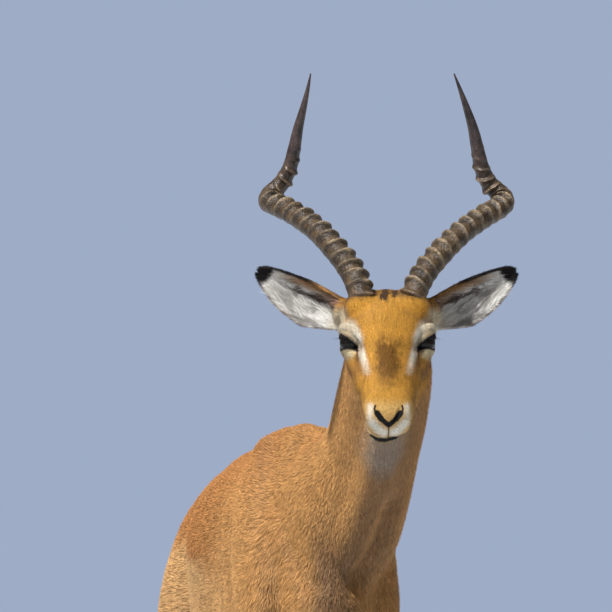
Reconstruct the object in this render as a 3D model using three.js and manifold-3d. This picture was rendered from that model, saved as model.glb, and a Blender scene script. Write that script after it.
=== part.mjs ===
// An adult male impala antelope, standing still with its head turned to look at the viewer: a life-size
// museum model. Millimetres, +Z up. It is laid out over the ground point under its shoulders, looking
// along -Y with its left side towards +X, and the finished group is moved so that its box is centred over
// the origin.
//
// The flesh is one smooth field, a blend of soft tubes that stand for muscles and bones. Each part of the
// body is the piece of that field inside its own region, so that neighbours meet at a thin flat cut.
import * as THREE from "three";
import Module from "manifold-3d";
import { mergeVertices } from "three/addons/utils/BufferGeometryUtils.js";

const wasm = await Module();
wasm.setup();

// ---------------------------------------------------------------- driving dimensions

const GAP = 0.6; // left between two parts that touch
const EAR_GAP = 1.6; // more round the ears, whose faces are warped
const SHOULDER_X = 75; // middle of the shoulder muscles, from the midplane
const KNEE_Z = 322;
const HOCK_Z = 380;
const FETLOCK_Z = 102;
const CORONET_Z = 47; // where hair meets hoof
const FRONT_HOOF_X = 66;
const HIND_HOOF_X = 70;
const SWAY = 14; // how far the hips stand to the left of the line of the ribs
const STRIDE = { left_fore: -34, right_fore: 22, left_hind: -30, right_hind: 48 }; // hoof shift along Y

const HEAD_AT = new THREE.Vector3(18, -420, 1040); // the point between the eyes
const HEAD_TURN = THREE.MathUtils.degToRad(11); // to the animal's right
const HEAD_DIP = THREE.MathUtils.degToRad(30.5); // of the line of the nose
const EYE = { x: 43.5, forward: 2, up: 0, radius: 16 };

const HORN_BASE = { x: 33, forward: -50, up: 37 };
const HORN_RADIUS = 16.5;
const HORN_RINGS = 28;
const HORN_SIDES = 8;
const HORN_ELBOW = 0.6; // where along its length it turns upward
const HORN_RIDGED = 0.72; // the share of its length that carries ridges
const HORN_LEAN = 5; // the tips stand this far towards the animal's right
const HORN_ARCH = 7; // the right horn is arched this much more than the left

const EAR_LENGTH = 132;
const EAR_CUP = 17; // how deep the shell is hollowed
const EAR_WALL = 5;

// ---------------------------------------------------------------- soft tubes

// A tube is a list of stations [x, y, z, half width across X, half depth in the YZ plane], joined by a
// Catmull-Rom curve. `blend` is how far its surface melts into what it meets.
const STEPS = 4;

function segments(stations) {
  const at = (i) => stations[Math.min(Math.max(i, 0), stations.length - 1)];
  const dense = [];
  for (let i = 0; i + 1 < stations.length; i++) {
    for (let s = 0; s < STEPS; s++) {
      const t = s / STEPS;
      dense.push(at(i).map((_, c) => catmullRom(at(i - 1)[c], at(i)[c], at(i + 1)[c], at(i + 2)[c], t)));
    }
  }
  dense.push(stations.at(-1));
  return dense;
}

function catmullRom(a, b, c, d, t) {
  const slope = (c - a) / 2;
  const next = (d - b) / 2;
  return b + t * (slope + t * (3 * (c - b) - 2 * slope - next + t * (2 * (b - c) + slope + next)));
}

function tube(blend, ...stations) {
  const points = segments(stations);
  const box = new THREE.Box3();
  for (const [x, y, z, w, h] of points) {
    box.expandByPoint(new THREE.Vector3(x - w, y - h, z - h));
    box.expandByPoint(new THREE.Vector3(x + w, y + h, z + h));
  }
  return { blend, points, box };
}

// Distance to the nearest of the tube's elliptical sections, negative inside.
function tubeDistance({ points }, x, y, z) {
  let nearest = Infinity;
  for (let i = 0; i + 1 < points.length; i++) {
    const a = points[i];
    const b = points[i + 1];
    const [ux, uy, uz] = [b[0] - a[0], b[1] - a[1], b[2] - a[2]];
    const along = ((x - a[0]) * ux + (y - a[1]) * uy + (z - a[2]) * uz) / (ux * ux + uy * uy + uz * uz);
    const t = Math.min(Math.max(along, 0), 1);
    const across = Math.abs(x - a[0] - t * ux);
    const deep = Math.hypot(y - a[1] - t * uy, z - a[2] - t * uz);
    const w = a[3] + t * (b[3] - a[3]);
    const h = a[4] + t * (b[4] - a[4]);
    const k0 = Math.hypot(across / w, deep / h);
    const k1 = Math.hypot(across / (w * w), deep / (h * h));
    nearest = Math.min(nearest, k1 < 1e-9 ? -Math.min(w, h) : (k0 * (k0 - 1)) / k1);
  }
  return nearest;
}

function melt(a, b, reach) {
  const h = Math.max(reach - Math.abs(a - b), 0) / reach;
  return Math.min(a, b) - (h * h * h * reach) / 6;
}

function boxDistance({ min, max }, x, y, z) {
  return Math.hypot(
    Math.max(min.x - x, 0, x - max.x),
    Math.max(min.y - y, 0, y - max.y),
    Math.max(min.z - z, 0, z - max.z),
  );
}

function meltTubes(tubes, x, y, z, start = 1e3) {
  let d = start;
  for (const part of tubes) {
    if (boxDistance(part.box, x, y, z) < d + part.blend) d = melt(d, tubeDistance(part, x, y, z), part.blend);
  }
  return d;
}

// ---------------------------------------------------------------- the animal's own shapes

const middle = [
  // chest and belly
  tube(30, [0, -66, 700, 70, 114], [0, 30, 706, 92, 156], [0, 160, 692, 110, 148], [0, 250, 682, 117, 136],
    [0, 340, 690, 108, 122], [0, 430, 708, 94, 114], [0, 540, 720, 74, 100], [0, 610, 728, 62, 88]),
  // ribs under the back, loins and rump
  tube(24, [0, 40, 784, 86, 118], [0, 130, 770, 111, 126], [0, 240, 754, 124, 132], [0, 330, 746, 114, 129],
    [0, 430, 738, 97, 121], [0, 540, 730, 79, 117], [0, 620, 722, 67, 106], [0, 684, 706, 48, 74]),
  // withers, and the first of the spine behind them
  tube(26, [4, -70, 862, 26, 44], [0, 0, 884, 25, 40], [0, 70, 882, 24, 36], [0, 150, 864, 21, 30]),
  // breastbone
  tube(34, [0, -128, 668, 36, 46], [0, -70, 612, 36, 42], [0, 40, 584, 34, 34]),
  // neck
  tube(46, [0, 30, 765, 80, 118], [5, -30, 778, 86, 112], [22, -90, 806, 81, 100], [36, -150, 850, 68, 86],
    [42, -205, 898, 61, 76], [42, -262, 950, 61, 66], [40, -312, 1000, 58, 56], [35, -335, 1030, 49, 50]),
  // crest of the neck, and the windpipe under it
  tube(30, [8, 0, 864, 24, 28], [30, -100, 886, 24, 28], [39, -180, 948, 24, 30], [41, -240, 1006, 24, 30],
    [41, -300, 1049, 26, 30]),
  tube(26, [22, -170, 778, 28, 34], [34, -262, 868, 25, 30], [36, -340, 955, 24, 28]),
];

const sides = [
  // shoulder blade and its muscles, then the upper arm
  tube(30, [39, 54, 868, 28, 40], [55, 20, 816, 32, 54], [67, -20, 755, 36, 68], [SHOULDER_X, -56, 690, 33, 64],
    [72, -34, 636, 31, 58], [74, 8, 596, 31, 58], [75, 34, 562, 26, 44]),
  // thigh, then the hamstrings behind it
  tube(36, [36, 590, 742, 32, 52], [55, 588, 692, 35, 88], [73, 560, 640, 40, 92], [80, 530, 590, 34, 60]),
  tube(34, [32, 672, 694, 32, 46], [49, 686, 648, 35, 48], [62, 655, 590, 32, 50]),
  // flank fold, between belly and stifle
  tube(26, [66, 430, 622, 28, 30], [80, 500, 598, 22, 34]),
];

// A leg's own tubes, its lower end moved along Y by its stride.
function leg(side, stride, top, tubes) {
  const placed = ([x, y, z, w, h]) => [side * x, y + stride * Math.max(0, 1 - z / top), z, w, h];
  return tubes.map(([blend, ...stations]) => tube(blend, ...stations.map(placed)));
}

const ARM_TOP = 640;
const THIGH_TOP = 690;

function foreleg(side, stride) {
  const x = FRONT_HOOF_X;
  return leg(side, stride, ARM_TOP, [
    [24, [76, 18, 575, 28, 46], [74, 6, 510, 24, 35], [72, -2, 440, 18.5, 25], [x + 3, -6, KNEE_Z + 45, 14.5, 18],
      [x + 2, -9, KNEE_Z + 12, 17, 19], [x + 2, -9, KNEE_Z - 12, 16, 17.5], [x + 1, -6, KNEE_Z - 40, 11.5, 14],
      [x + 1, -4, 200, 10.5, 12.5], [x, -4, FETLOCK_Z + 30, 11.5, 13.5], [x, -2, FETLOCK_Z, 15, 17.5],
      [x, -16, 72, 13, 15], [x, -34, 46, 17, 19], [x, -40, 30, 18, 19]],
    [16, [78, 44, 588, 12, 22], [77, 48, 556, 11, 16]], // point of the elbow
  ]);
}

function hindleg(side, stride) {
  const x = HIND_HOOF_X;
  return leg(side, stride, THIGH_TOP, [
    [28, [80, 545, 598, 34, 58], [78, 592, 528, 27, 46], [75, 648, 458, 18.5, 32], [x + 1, 697, HOCK_Z + 18, 15.5, 26],
      [x, 709, HOCK_Z - 14, 15, 22], [x, 704, HOCK_Z - 58, 12.5, 16.5], [x, 698, 230, 11, 13.5],
      [x, 693, FETLOCK_Z + 36, 11.5, 14], [x, 690, FETLOCK_Z + 3, 15, 18], [x, 674, 74, 13, 15],
      [x, 654, 46, 17, 19], [x, 647, 30, 18, 19]],
    // the hamstring's cord, down to the point of the hock
    [18, [78, 655, 560, 16, 26], [75, 688, 490, 13, 19], [72, 715, 430, 12.5, 18], [x + 1, 727, HOCK_Z + 20, 12.5, 15],
      [x, 724, HOCK_Z - 8, 12.5, 14]],
  ]);
}

const legs = {
  foreleg_left: foreleg(1, STRIDE.left_fore),
  foreleg_right: foreleg(-1, STRIDE.right_fore),
  hindleg_left: hindleg(1, STRIDE.left_hind),
  hindleg_right: hindleg(-1, STRIDE.right_hind),
};

// The head in its own frame: x across, y forward along the nose, z up from the line of the eyes.
const headMiddle = [
  // skull, face and muzzle
  tube(18, [0, -82, -8, 41, 32], [0, -46, 0, 51, 43], [0, -6, 0, 51, 45], [0, 34, -4, 41, 39],
    [0, 76, -9, 37, 33], [0, 116, -12, 35, 30], [0, 142, -12, 32, 27], [0, 152, -13, 28, 24]),
  // lower jaw and chin
  tube(16, [0, -48, -54, 32, 30], [0, 4, -50, 34, 22], [0, 62, -45, 33, 17], [0, 112, -47, 28, 15],
    [0, 140, -53, 22, 15]),
];

const headSides = [
  tube(16, [26, -46, -44, 20, 34], [31, -10, -35, 17, 28], [31, 28, -27, 15, 21]), // masseter
  tube(12, [46, -26, -18, 11, 11], [42, 14, -21, 11, 11], [36, 44, -18, 11, 13], [30, 84, -14, 10, 14]), // cheekbone
  tube(8, [38, 8, 11, 7, 7], [45, 3, 17, 8, 7], [54, -6, 15, 8, 8], [54, -20, 4, 9, 9]), // brow
  tube(10, [35, 29, -6, 7, 7], [45, 15, -9, 10, 10], [50, -6, -15, 10, 9], [52, -22, -4, 9, 9]), // lower lid
  tube(14, [HORN_BASE.x - 3, -62, 19, 22, 18], [HORN_BASE.x - 2, -36, 27, 24, 20]), // horn pedicle
  tube(18, [44, -72, -8, 18, 22], [54, -76, -6, 17, 20]), // root of the ear
  tube(9, [14, 142, -3, 16, 16], [14, 158, -10, 15, 14]), // nostril wing
  tube(9, [13, 138, -24, 17, 14], [12, 156, -26, 15, 12]), // upper lip
];

// the hollow between the eye and the bridge of the nose
const headHollows = [tube(6, [46, 14, 7, 8, 8], [41, 25, 9, 6, 7], [38, 42, 17, 4, 6])];
const HOLLOW_BLEND = 8;

const headAxes = new THREE.Matrix4()
  .makeTranslation(HEAD_AT)
  .multiply(new THREE.Matrix4().makeRotationZ(Math.PI - HEAD_TURN))
  .multiply(new THREE.Matrix4().makeRotationX(-HEAD_DIP))
  .multiply(new THREE.Matrix4().makeScale(-1, 1, 1)); // keeps the animal's left at +x
const intoHead = headAxes.clone().invert();
const spot = new THREE.Vector3();

function headDistance(x, y, z) {
  spot.set(x, y, z).applyMatrix4(intoHead);
  const [across, ahead, up] = [Math.abs(spot.x), spot.y, spot.z];
  const full = meltTubes(headSides, across, ahead, up, meltTubes(headMiddle, spot.x, ahead, up));
  return -melt(-full, meltTubes(headHollows, across, ahead, up), HOLLOW_BLEND);
}

const HEAD_BLEND = 34;
const swayed = (y) => SWAY * (Math.max(0, y) / 600) ** 2;

function flesh(x, y, z) {
  const beside = x - swayed(y);
  let d = meltTubes(middle, beside, y, z);
  d = meltTubes(sides, Math.abs(beside), y, z, d);
  for (const tubes of Object.values(legs)) d = meltTubes(tubes, beside, y, z, d);
  const near = HEAD_AT.distanceTo(spot.set(x, y, z));
  return near < 330 ? melt(d, headDistance(x, y, z), HEAD_BLEND) : d;
}

// ---------------------------------------------------------------- from field to faces

// Grid lines along an axis: from `start` in even steps of about `cell` up to each `end` in turn.
function lines(start, ...spans) {
  const made = [start];
  for (const [end, cell] of spans) {
    const from = made.at(-1);
    const count = Math.ceil((end - from) / cell);
    for (let i = 1; i <= count; i++) made.push(from + ((end - from) * i) / count);
  }
  return made;
}

// Surface nets: one corner point in each cell that the surface crosses, drawn onto it by the field's slope,
// and a quad round each crossed edge. The outermost grid lines count as outside, which closes the skin.
function skinOf(field, xs, ys, zs) {
  const grid = [xs, ys, zs];
  const [nx, ny, nz] = grid.map((axis) => axis.length);
  const step = [1, nx, nx * ny];
  const onRim = (i, j, k, past) => !i || !j || !k || i === nx - past || j === ny - past || k === nz - past;
  const values = new Float64Array(nx * ny * nz);
  for (let k = 0, n = 0; k < nz; k++) {
    for (let j = 0; j < ny; j++) {
      for (let i = 0; i < nx; i++, n++) {
        const d = field(xs[i], ys[j], zs[k]);
        values[n] = onRim(i, j, k, 1) ? Math.max(d, 1) : d;
      }
    }
  }
  joinCheckers(values, step);
  const corners = [];
  const cornerOf = new Map();
  for (let k = 0; k + 1 < nz; k++) {
    for (let j = 0; j + 1 < ny; j++) {
      for (let i = 0; i + 1 < nx; i++) {
        const n = i + j * step[1] + k * step[2];
        const share = crossing(values, step, n);
        if (!share) continue;
        const cell = [i, j, k];
        const point = grid.map((axis, c) => axis[cell[c]] + share[c] * (axis[cell[c] + 1] - axis[cell[c]]));
        cornerOf.set(n, corners.length);
        corners.push(onRim(i, j, k, 2) ? point : drawnOn(field, point, (xs[1] - xs[0]) / 2));
      }
    }
  }
  const faces = [];
  for (const n of cornerOf.keys()) {
    for (let axis = 0; axis < 3; axis++) {
      const [b, c] = [step[(axis + 1) % 3], step[(axis + 2) % 3]];
      const inside = values[n] < 0;
      if (inside === values[n + step[axis]] < 0) continue;
      const quad = [n - b - c, n - c, n, n - b].map((cell) => cornerOf.get(cell));
      if (!inside) quad.reverse();
      const [p, q, r, s] = quad;
      const span = (m, o) => corners[m].reduce((sum, value, i) => sum + (value - corners[o][i]) ** 2, 0);
      faces.push(...(span(p, r) < span(q, s) ? [p, q, r, p, r, s] : [p, q, s, q, r, s]));
    }
  }
  return solid(geometryOf(corners, faces));
}

// Where inside and outside alternate round a cell face, two sheets would share an edge, so the shallower
// outside corner is taken inside.
function joinCheckers(values, step) {
  for (let changed = true; changed;) {
    changed = false;
    for (let n = 0; n + step[1] + step[2] + 1 < values.length; n++) {
      for (const [b, c] of [[step[0], step[1]], [step[1], step[2]], [step[2], step[0]]]) {
        const round = [n, n + b, n + b + c, n + c];
        const [p, q, r, s] = round.map((m) => values[m] < 0);
        if (p !== r || q !== s || p === q) continue;
        const outside = round.filter((m) => values[m] >= 0);
        values[values[outside[0]] < values[outside[1]] ? outside[0] : outside[1]] = -0.01;
        changed = true;
      }
    }
  }
}

const CELL_EDGES = [];
for (let axis = 0; axis < 3; axis++) {
  for (let m = 0; m < 4; m++) {
    const start = [0, 0, 0];
    start[(axis + 1) % 3] = m & 1;
    start[(axis + 2) % 3] = m >> 1;
    CELL_EDGES.push([axis, start]);
  }
}

// The mean of the points where the surface crosses a cell's edges, in shares of the cell.
function crossing(values, step, n) {
  const sum = [0, 0, 0];
  let found = 0;
  for (const [axis, start] of CELL_EDGES) {
    const from = n + start[0] + start[1] * step[1] + start[2] * step[2];
    const [a, b] = [values[from], values[from + step[axis]]];
    if (a < 0 === b < 0) continue;
    found++;
    for (let c = 0; c < 3; c++) sum[c] += start[c] + (c === axis ? a / (a - b) : 0);
  }
  return found ? sum.map((v) => v / found) : null;
}

function drawnOn(field, [x, y, z], reach) {
  for (let turn = 0; turn < 3; turn++) {
    const d = field(x, y, z);
    const slope = [field(x + 1, y, z) - d, field(x, y + 1, z) - d, field(x, y, z + 1) - d];
    const size = slope.reduce((sum, v) => sum + v * v, 0);
    const move = THREE.MathUtils.clamp(-d / Math.max(size, 0.25), -reach, reach);
    [x, y, z] = [x + move * slope[0], y + move * slope[1], z + move * slope[2]];
  }
  return [x, y, z];
}

// ---------------------------------------------------------------- solids

function geometryOf(corners, faces) {
  const geometry = new THREE.BufferGeometry();
  geometry.setAttribute("position", new THREE.Float32BufferAttribute(corners.flat(), 3));
  geometry.setIndex(faces);
  return geometry;
}

function solid(geometry, matrix = new THREE.Matrix4()) {
  const bare = geometry.clone().applyMatrix4(matrix);
  bare.deleteAttribute("normal");
  bare.deleteAttribute("uv");
  const merged = mergeVertices(bare, 1e-3);
  const vertProperties = merged.attributes.position.array;
  const triVerts = new Uint32Array(merged.index.array);
  return new wasm.Manifold(new wasm.Mesh({ numProp: 3, vertProperties, triVerts }));
}

// A closed skin over a row of rings with the same number of points, with a fan over each end.
function loft(rings) {
  const n = rings[0].length;
  const corners = rings.flat().map((p) => p.toArray());
  const faces = [];
  for (let r = 0; r + 1 < rings.length; r++) {
    for (let i = 0; i < n; i++) {
      const [a, b] = [r * n + i, r * n + ((i + 1) % n)];
      faces.push(a, b, b + n, a, b + n, a + n);
    }
  }
  const ends = [rings[0], rings.at(-1)];
  ends.forEach((ring, end) => {
    const centre = ring.reduce((sum, p) => sum.add(p), new THREE.Vector3()).divideScalar(n);
    corners.push(centre.toArray());
    for (let i = 0; i < n; i++) {
      const [a, b] = end ? [(rings.length - 1) * n + i, (rings.length - 1) * n + ((i + 1) % n)] : [(i + 1) % n, i];
      faces.push(a, b, corners.length - 1);
    }
  });
  return volumeOf(corners, faces) > 0
    ? solid(geometryOf(corners, faces))
    : loft(rings.map((ring) => [...ring].reverse()));
}

// Positive when the faces point out.
function volumeOf(corners, faces) {
  let sum = 0;
  for (let f = 0; f < faces.length; f += 3) {
    const [a, b, c] = [0, 1, 2].map((i) => new THREE.Vector3(...corners[faces[f + i]]));
    sum += a.dot(b.cross(c)) / 6;
  }
  return sum;
}

// A cut leaves slivers along its rim. Short edges are drawn together wherever the surface stays put, and
// only the largest piece is kept.
const SHORT = 2.5;
const STAYS_PUT = 0.08;

function tidied({ numVert, numProp, vertProperties, triVerts }) {
  const at = Array.from({ length: numVert }, (_, i) => new THREE.Vector3().fromArray(vertProperties, i * numProp));
  const faces = Array.from({ length: triVerts.length / 3 }, (_, f) => [...triVerts.slice(3 * f, 3 * f + 3)]);
  const around = at.map(() => new Set());
  faces.forEach((face, f) => face.forEach((c) => around[c].add(f)));
  const ring = (c) => new Set([...around[c]].flatMap((f) => faces[f]));
  const normal = ([p, q, r]) => q.clone().sub(p).cross(r.clone().sub(p));
  const mayGo = (gone, kept) => [...around[gone]].every((f) => {
    if (faces[f].includes(kept)) return true;
    const before = normal(faces[f].map((c) => at[c]));
    const after = normal(faces[f].map((c) => at[c === gone ? kept : c]));
    const area = before.length();
    const moved = area > 0.02 ? Math.abs(before.dot(at[kept].clone().sub(at[gone]))) / area : 0;
    return moved < STAYS_PUT && after.length() > 1e-3 && (area < 0.02 || after.dot(before) > 0);
  });
  const join = (gone, kept) => {
    for (const f of around[gone]) {
      if (faces[f].includes(kept)) faces[f].forEach((c) => c !== gone && around[c].delete(f));
      else around[kept].add(f);
      faces[f] = faces[f].includes(kept) ? [] : faces[f].map((c) => (c === gone ? kept : c));
    }
    around[gone].clear();
  };
  for (let changed = true; changed;) {
    changed = false;
    for (let f = 0; f < faces.length; f++) {
      for (let i = 0; i < 3 && faces[f].length; i++) {
        const [a, b] = [faces[f][i], faces[f][(i + 1) % 3]];
        if (at[a].distanceTo(at[b]) > SHORT) continue;
        if ([...ring(a)].filter((c) => ring(b).has(c)).length !== 4) continue;
        const pair = [[a, b], [b, a]].find(([gone, kept]) => mayGo(gone, kept));
        if (!pair) continue;
        join(...pair);
        changed = true;
      }
    }
  }
  return largestPiece(at, faces.filter((face) => face.length));
}

function largestPiece(at, faces) {
  const group = at.map((_, i) => i);
  const root = (i) => {
    while (group[i] !== i) i = group[i] = group[group[i]];
    return i;
  };
  for (const [a, b, c] of faces) {
    group[root(b)] = root(a);
    group[root(c)] = root(a);
  }
  const count = new Map();
  for (const [a] of faces) count.set(root(a), (count.get(root(a)) ?? 0) + 1);
  const [best] = [...count].reduce((most, entry) => (entry[1] > most[1] ? entry : most));
  const kept = faces.filter(([a]) => root(a) === best);
  const used = [...new Set(kept.flat())];
  const renamed = new Map(used.map((c, i) => [c, i]));
  return geometryOf(used.map((c) => at[c].toArray()), kept.flat().map((c) => renamed.get(c)));
}

// Everything on the far side of a plane, as a big box: `normal` points into it.
const FAR = 2400;

function beyond(point, normal, offset = 0) {
  const box = new THREE.BoxGeometry(FAR, FAR, FAR);
  const turn = new THREE.Quaternion().setFromUnitVectors(new THREE.Vector3(0, 0, 1), normal.clone().normalize());
  const centre = normal.clone().normalize().multiplyScalar(FAR / 2 + offset).add(point);
  return solid(box, new THREE.Matrix4().compose(centre, turn, new THREE.Vector3(1, 1, 1)));
}

function block(low, high, grow = 0) {
  const size = high.map((v, i) => v - low[i] + 2 * grow);
  const centre = high.map((v, i) => (v + low[i]) / 2);
  return solid(new THREE.BoxGeometry(...size), new THREE.Matrix4().makeTranslation(...centre));
}

// ---------------------------------------------------------------- horns

// The centreline of the left horn, [outward, up, back] from its root: it leans back and out, bends over in
// a tight elbow, then rises with its tip turned in and forward.
const HORN_LINE = [[-7, -28, -6], [0, 0, 0], [12, 25, 20], [34, 51, 48], [60, 76, 84], [92, 98, 128], [110, 108, 156],
  [117, 116, 172], [113, 125, 181], [99, 139, 184], [88, 158, 182], [82, 181, 176], [76, 209, 167], [68, 238, 155],
  [62, 261, 144], [58, 279, 135]];
const hornRoot = new THREE.Vector3(HORN_BASE.x, HORN_BASE.forward, HORN_BASE.up);

function hornCurve(side) {
  const root = hornRoot.clone().setX(side * hornRoot.x).applyMatrix4(headAxes);
  const points = HORN_LINE.map(([out, up, back], i) => {
    const share = i / (HORN_LINE.length - 1);
    const lean = HORN_LEAN * Math.max(0, 2 * share - 1);
    const arch = side < 0 ? HORN_ARCH * Math.sin(Math.PI * Math.min(share / 0.58, 1)) ** 2 : 0;
    return new THREE.Vector3(side * (out - 0.6 * arch) - lean, back, up + 0.8 * arch)
      .applyAxisAngle(new THREE.Vector3(0, 0, 1), -HEAD_TURN).add(root);
  });
  return new THREE.CatmullRomCurve3(points, false, "centripetal");
}

// Radius along the horn: nearly even up to the elbow, then a long straight taper to a blunt point.
function hornRadius(t) {
  const point = Math.max(0, (t - HORN_ELBOW) / (1 - HORN_ELBOW));
  return (HORN_RADIUS - 3 * Math.min(t / HORN_ELBOW, 1)) * (0.06 + 0.94 * (1 - point) ** 0.95);
}

function horn(side, grow = 0) {
  const curve = hornCurve(side);
  const rings = [];
  for (let r = 0; r <= HORN_RINGS; r++) {
    const t = r / HORN_RINGS;
    const centre = curve.getPointAt(t);
    const along = curve.getTangentAt(t);
    if (!r) centre.addScaledVector(along, -grow);
    const across = new THREE.Vector3(0, -1, 0).cross(along).normalize();
    const front = new THREE.Vector3().crossVectors(along, across);
    const crest = t < HORN_RIDGED && r % 2 ? 1 : 0;
    const ring = [];
    for (let i = 0; i < HORN_SIDES; i++) {
      const turn = (2 * Math.PI * i) / HORN_SIDES;
      // ridges stand proud on the front and inner side and fade out behind
      const ridge = crest * 2.4 * (0.5 + 0.5 * Math.cos(turn - 0.7));
      const radius = hornRadius(t) + ridge + grow;
      ring.push(centre.clone()
        .addScaledVector(front, radius * 1.12 * Math.cos(turn))
        .addScaledVector(across, -side * radius * Math.sin(turn)));
    }
    rings.push(ring);
  }
  return loft(rings);
}

// ---------------------------------------------------------------- ears, eyes, tail and hooves

// An ear's own axes: along its length, across it towards the upper edge, and out of the cup.
function earAxes(side) {
  const length = new THREE.Vector3(0.845, 0.377, 0.377).normalize();
  const facing = new THREE.Vector3(0.36, -0.93, 0.06);
  facing.addScaledVector(length, -facing.dot(length)).normalize();
  const across = new THREE.Vector3().crossVectors(length, facing).multiplyScalar(-1);
  return [length, across, facing].map((v) =>
    v.multiply(new THREE.Vector3(side, 1, 1)).applyAxisAngle(new THREE.Vector3(0, 0, 1), -HEAD_TURN));
}

const EAR_ROOT = new THREE.Vector3(50, -74, -4); // in the head's frame

// Half width of the ear at a share t of its length: the upper edge is nearly straight, the lower one bellied.
const earUpper = (t) => 18.5 * Math.sqrt(Math.max(0, 1 - t ** 4)) * (0.7 + 0.3 * Math.min(1, t / 0.45));
const earLower = (t) => 39 * Math.max(0, 1 - t ** 3) ** 0.85 * (0.55 + 0.45 * Math.min(1, t / 0.38));
const earDepth = (t) => EAR_CUP * (1 - t ** 3) * (0.5 + 0.5 * Math.min(1, t / 0.25));

function ear(side, grow = 0) {
  const [length, across, facing] = earAxes(side);
  const root = EAR_ROOT.clone().setX(side * EAR_ROOT.x).applyMatrix4(headAxes);
  const rings = [];
  const RINGS = 9;
  const HALF = 6;
  for (let r = 0; r <= RINGS; r++) {
    const t = -0.16 + (1.155 * r) / RINGS;
    const share = Math.max(t, 0);
    const top = earUpper(share);
    const bottom = earLower(share);
    const shell = (s, face) => {
      const b = s > 0 ? s * top : s * bottom;
      const bowl = -earDepth(share) * (1 - s * s);
      const wall = (EAR_WALL / 2) * Math.sqrt(Math.max(0.12, 1 - s ** 6)) + grow;
      return root.clone().addScaledVector(length, t * EAR_LENGTH + (r ? grow : -grow))
        .addScaledVector(across, b + grow * s).addScaledVector(facing, bowl + face * wall);
    };
    const ring = [];
    for (let i = 0; i < HALF; i++) ring.push(shell(-1 + (2 * i) / (HALF - 1), 1));
    for (let i = 0; i < HALF; i++) ring.push(shell(1 - (2 * i) / (HALF - 1), -1));
    rings.push(ring);
  }
  return loft(rings);
}

function eyeCentre(side) {
  return new THREE.Vector3(side * EYE.x, EYE.forward, EYE.up).applyMatrix4(headAxes);
}

function eye(side, grow = 0) {
  const ball = new THREE.SphereGeometry(EYE.radius + grow, 12, 8);
  return solid(ball, new THREE.Matrix4().makeTranslation(eyeCentre(side)));
}

// The tail hangs from the top of the rump, slim at its root and fuller in its brush.
const TAIL_LINE = [[684, 782], [718, 778], [746, 752], [759, 708], [765, 648], [768, 590], [768, 540]];
const TAIL_HALF = [13, 13, 15, 17, 16, 12, 3];

function tail(grow = 0) {
  const curve = new THREE.CatmullRomCurve3(TAIL_LINE.map(([y, z]) => new THREE.Vector3(swayed(y), y, z)));
  const RINGS = 12;
  const SIDES = 8;
  const rings = [];
  for (let r = 0; r <= RINGS; r++) {
    const t = r / RINGS;
    const at = t * (TAIL_HALF.length - 1);
    const i = Math.min(Math.floor(at), TAIL_HALF.length - 2);
    const half = THREE.MathUtils.lerp(TAIL_HALF[i], TAIL_HALF[i + 1], at - i) + grow;
    const centre = curve.getPoint(t);
    const normal = new THREE.Vector3(1, 0, 0).cross(curve.getTangent(t)).normalize();
    rings.push(Array.from({ length: SIDES }, (_, s) => {
      const turn = (2 * Math.PI * s) / SIDES;
      return centre.clone().add(new THREE.Vector3(half * Math.cos(turn), 0, 0))
        .addScaledVector(normal, 0.62 * half * Math.sin(turn));
    }));
  }
  return loft(rings);
}

// One of a foot's two claws: flat sole, steep wall, its toe drawn forward.
const CLAW_RINGS = [[0, 1, 1], [3, 1.03, 1.02], [24, 0.92, 0.86], [CORONET_Z - GAP, 0.8, 0.66]];
const CLAW = { length: 66, width: 20.5, spread: 11.4, lean: 16 };

function claw(x, y, inner) {
  const SIDES = 10;
  const rings = CLAW_RINGS.map(([z, wide, long]) => {
    const back = (CLAW.lean * z) / CORONET_Z;
    return Array.from({ length: SIDES }, (_, s) => {
      const turn = (2 * Math.PI * s) / SIDES;
      const ahead = Math.cos(turn);
      const side = Math.sin(turn) * (1 - 0.34 * Math.max(0, ahead) ** 1.5);
      const toeIn = -inner * 3.4 * Math.max(0, ahead) * (1 - z / CORONET_Z);
      return new THREE.Vector3(
        x + inner * CLAW.spread * (0.9 + 0.1 * wide) + (side * wide * CLAW.width) / 2 + toeIn,
        y + back - (ahead * long * CLAW.length) / 2,
        z,
      );
    });
  });
  return loft(rings);
}

// ---------------------------------------------------------------- parting the body

const v = (x, y, z) => new THREE.Vector3(x, y, z);
const NAPE = { point: v(0, -325, 1040), normal: v(0, -0.97, 0.24) }; // between neck and head
const NECK_ROOT = { point: v(0, -88, 770), normal: v(0, -0.857, 0.515) }; // between trunk and neck
const ELBOW_Z = 566;
const STIFLE = { point: v(0, 600, 640), normal: v(0, 0.34, -0.94) }; // hind leg below this slope
const BIG = 1000;

const regions = {
  foreleg_left: (grow = 0) => block([46, -160, CORONET_Z], [BIG, 98, ELBOW_Z], grow),
  foreleg_right: (grow = 0) => block([-BIG, -160, CORONET_Z], [-46, 98, ELBOW_Z], grow),
  hindleg_left: (grow = 0) => block([SWAY + GAP / 2, 470, CORONET_Z], [BIG, 900, BIG], grow)
    .intersect(beyond(STIFLE.point, STIFLE.normal, -grow)),
  hindleg_right: (grow = 0) => block([-BIG, 470, CORONET_Z], [SWAY - GAP / 2, 900, BIG], grow)
    .intersect(beyond(STIFLE.point, STIFLE.normal, -grow)),
};

const eyes = { eye_left: eye(1), eye_right: eye(-1) };
const horns = { horn_left: horn(1), horn_right: horn(-1) };
const ears = { ear_left: ear(1), ear_right: ear(-1) };

let trunk = skinOf(flesh, lines(-165, [165, 40]), lines(-210, [780, 48]), lines(500, [950, 40]))
  .subtract(beyond(NECK_ROOT.point, NECK_ROOT.normal, -GAP))
  .subtract(tail(GAP));
for (const region of Object.values(regions)) trunk = trunk.subtract(region(GAP));

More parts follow.
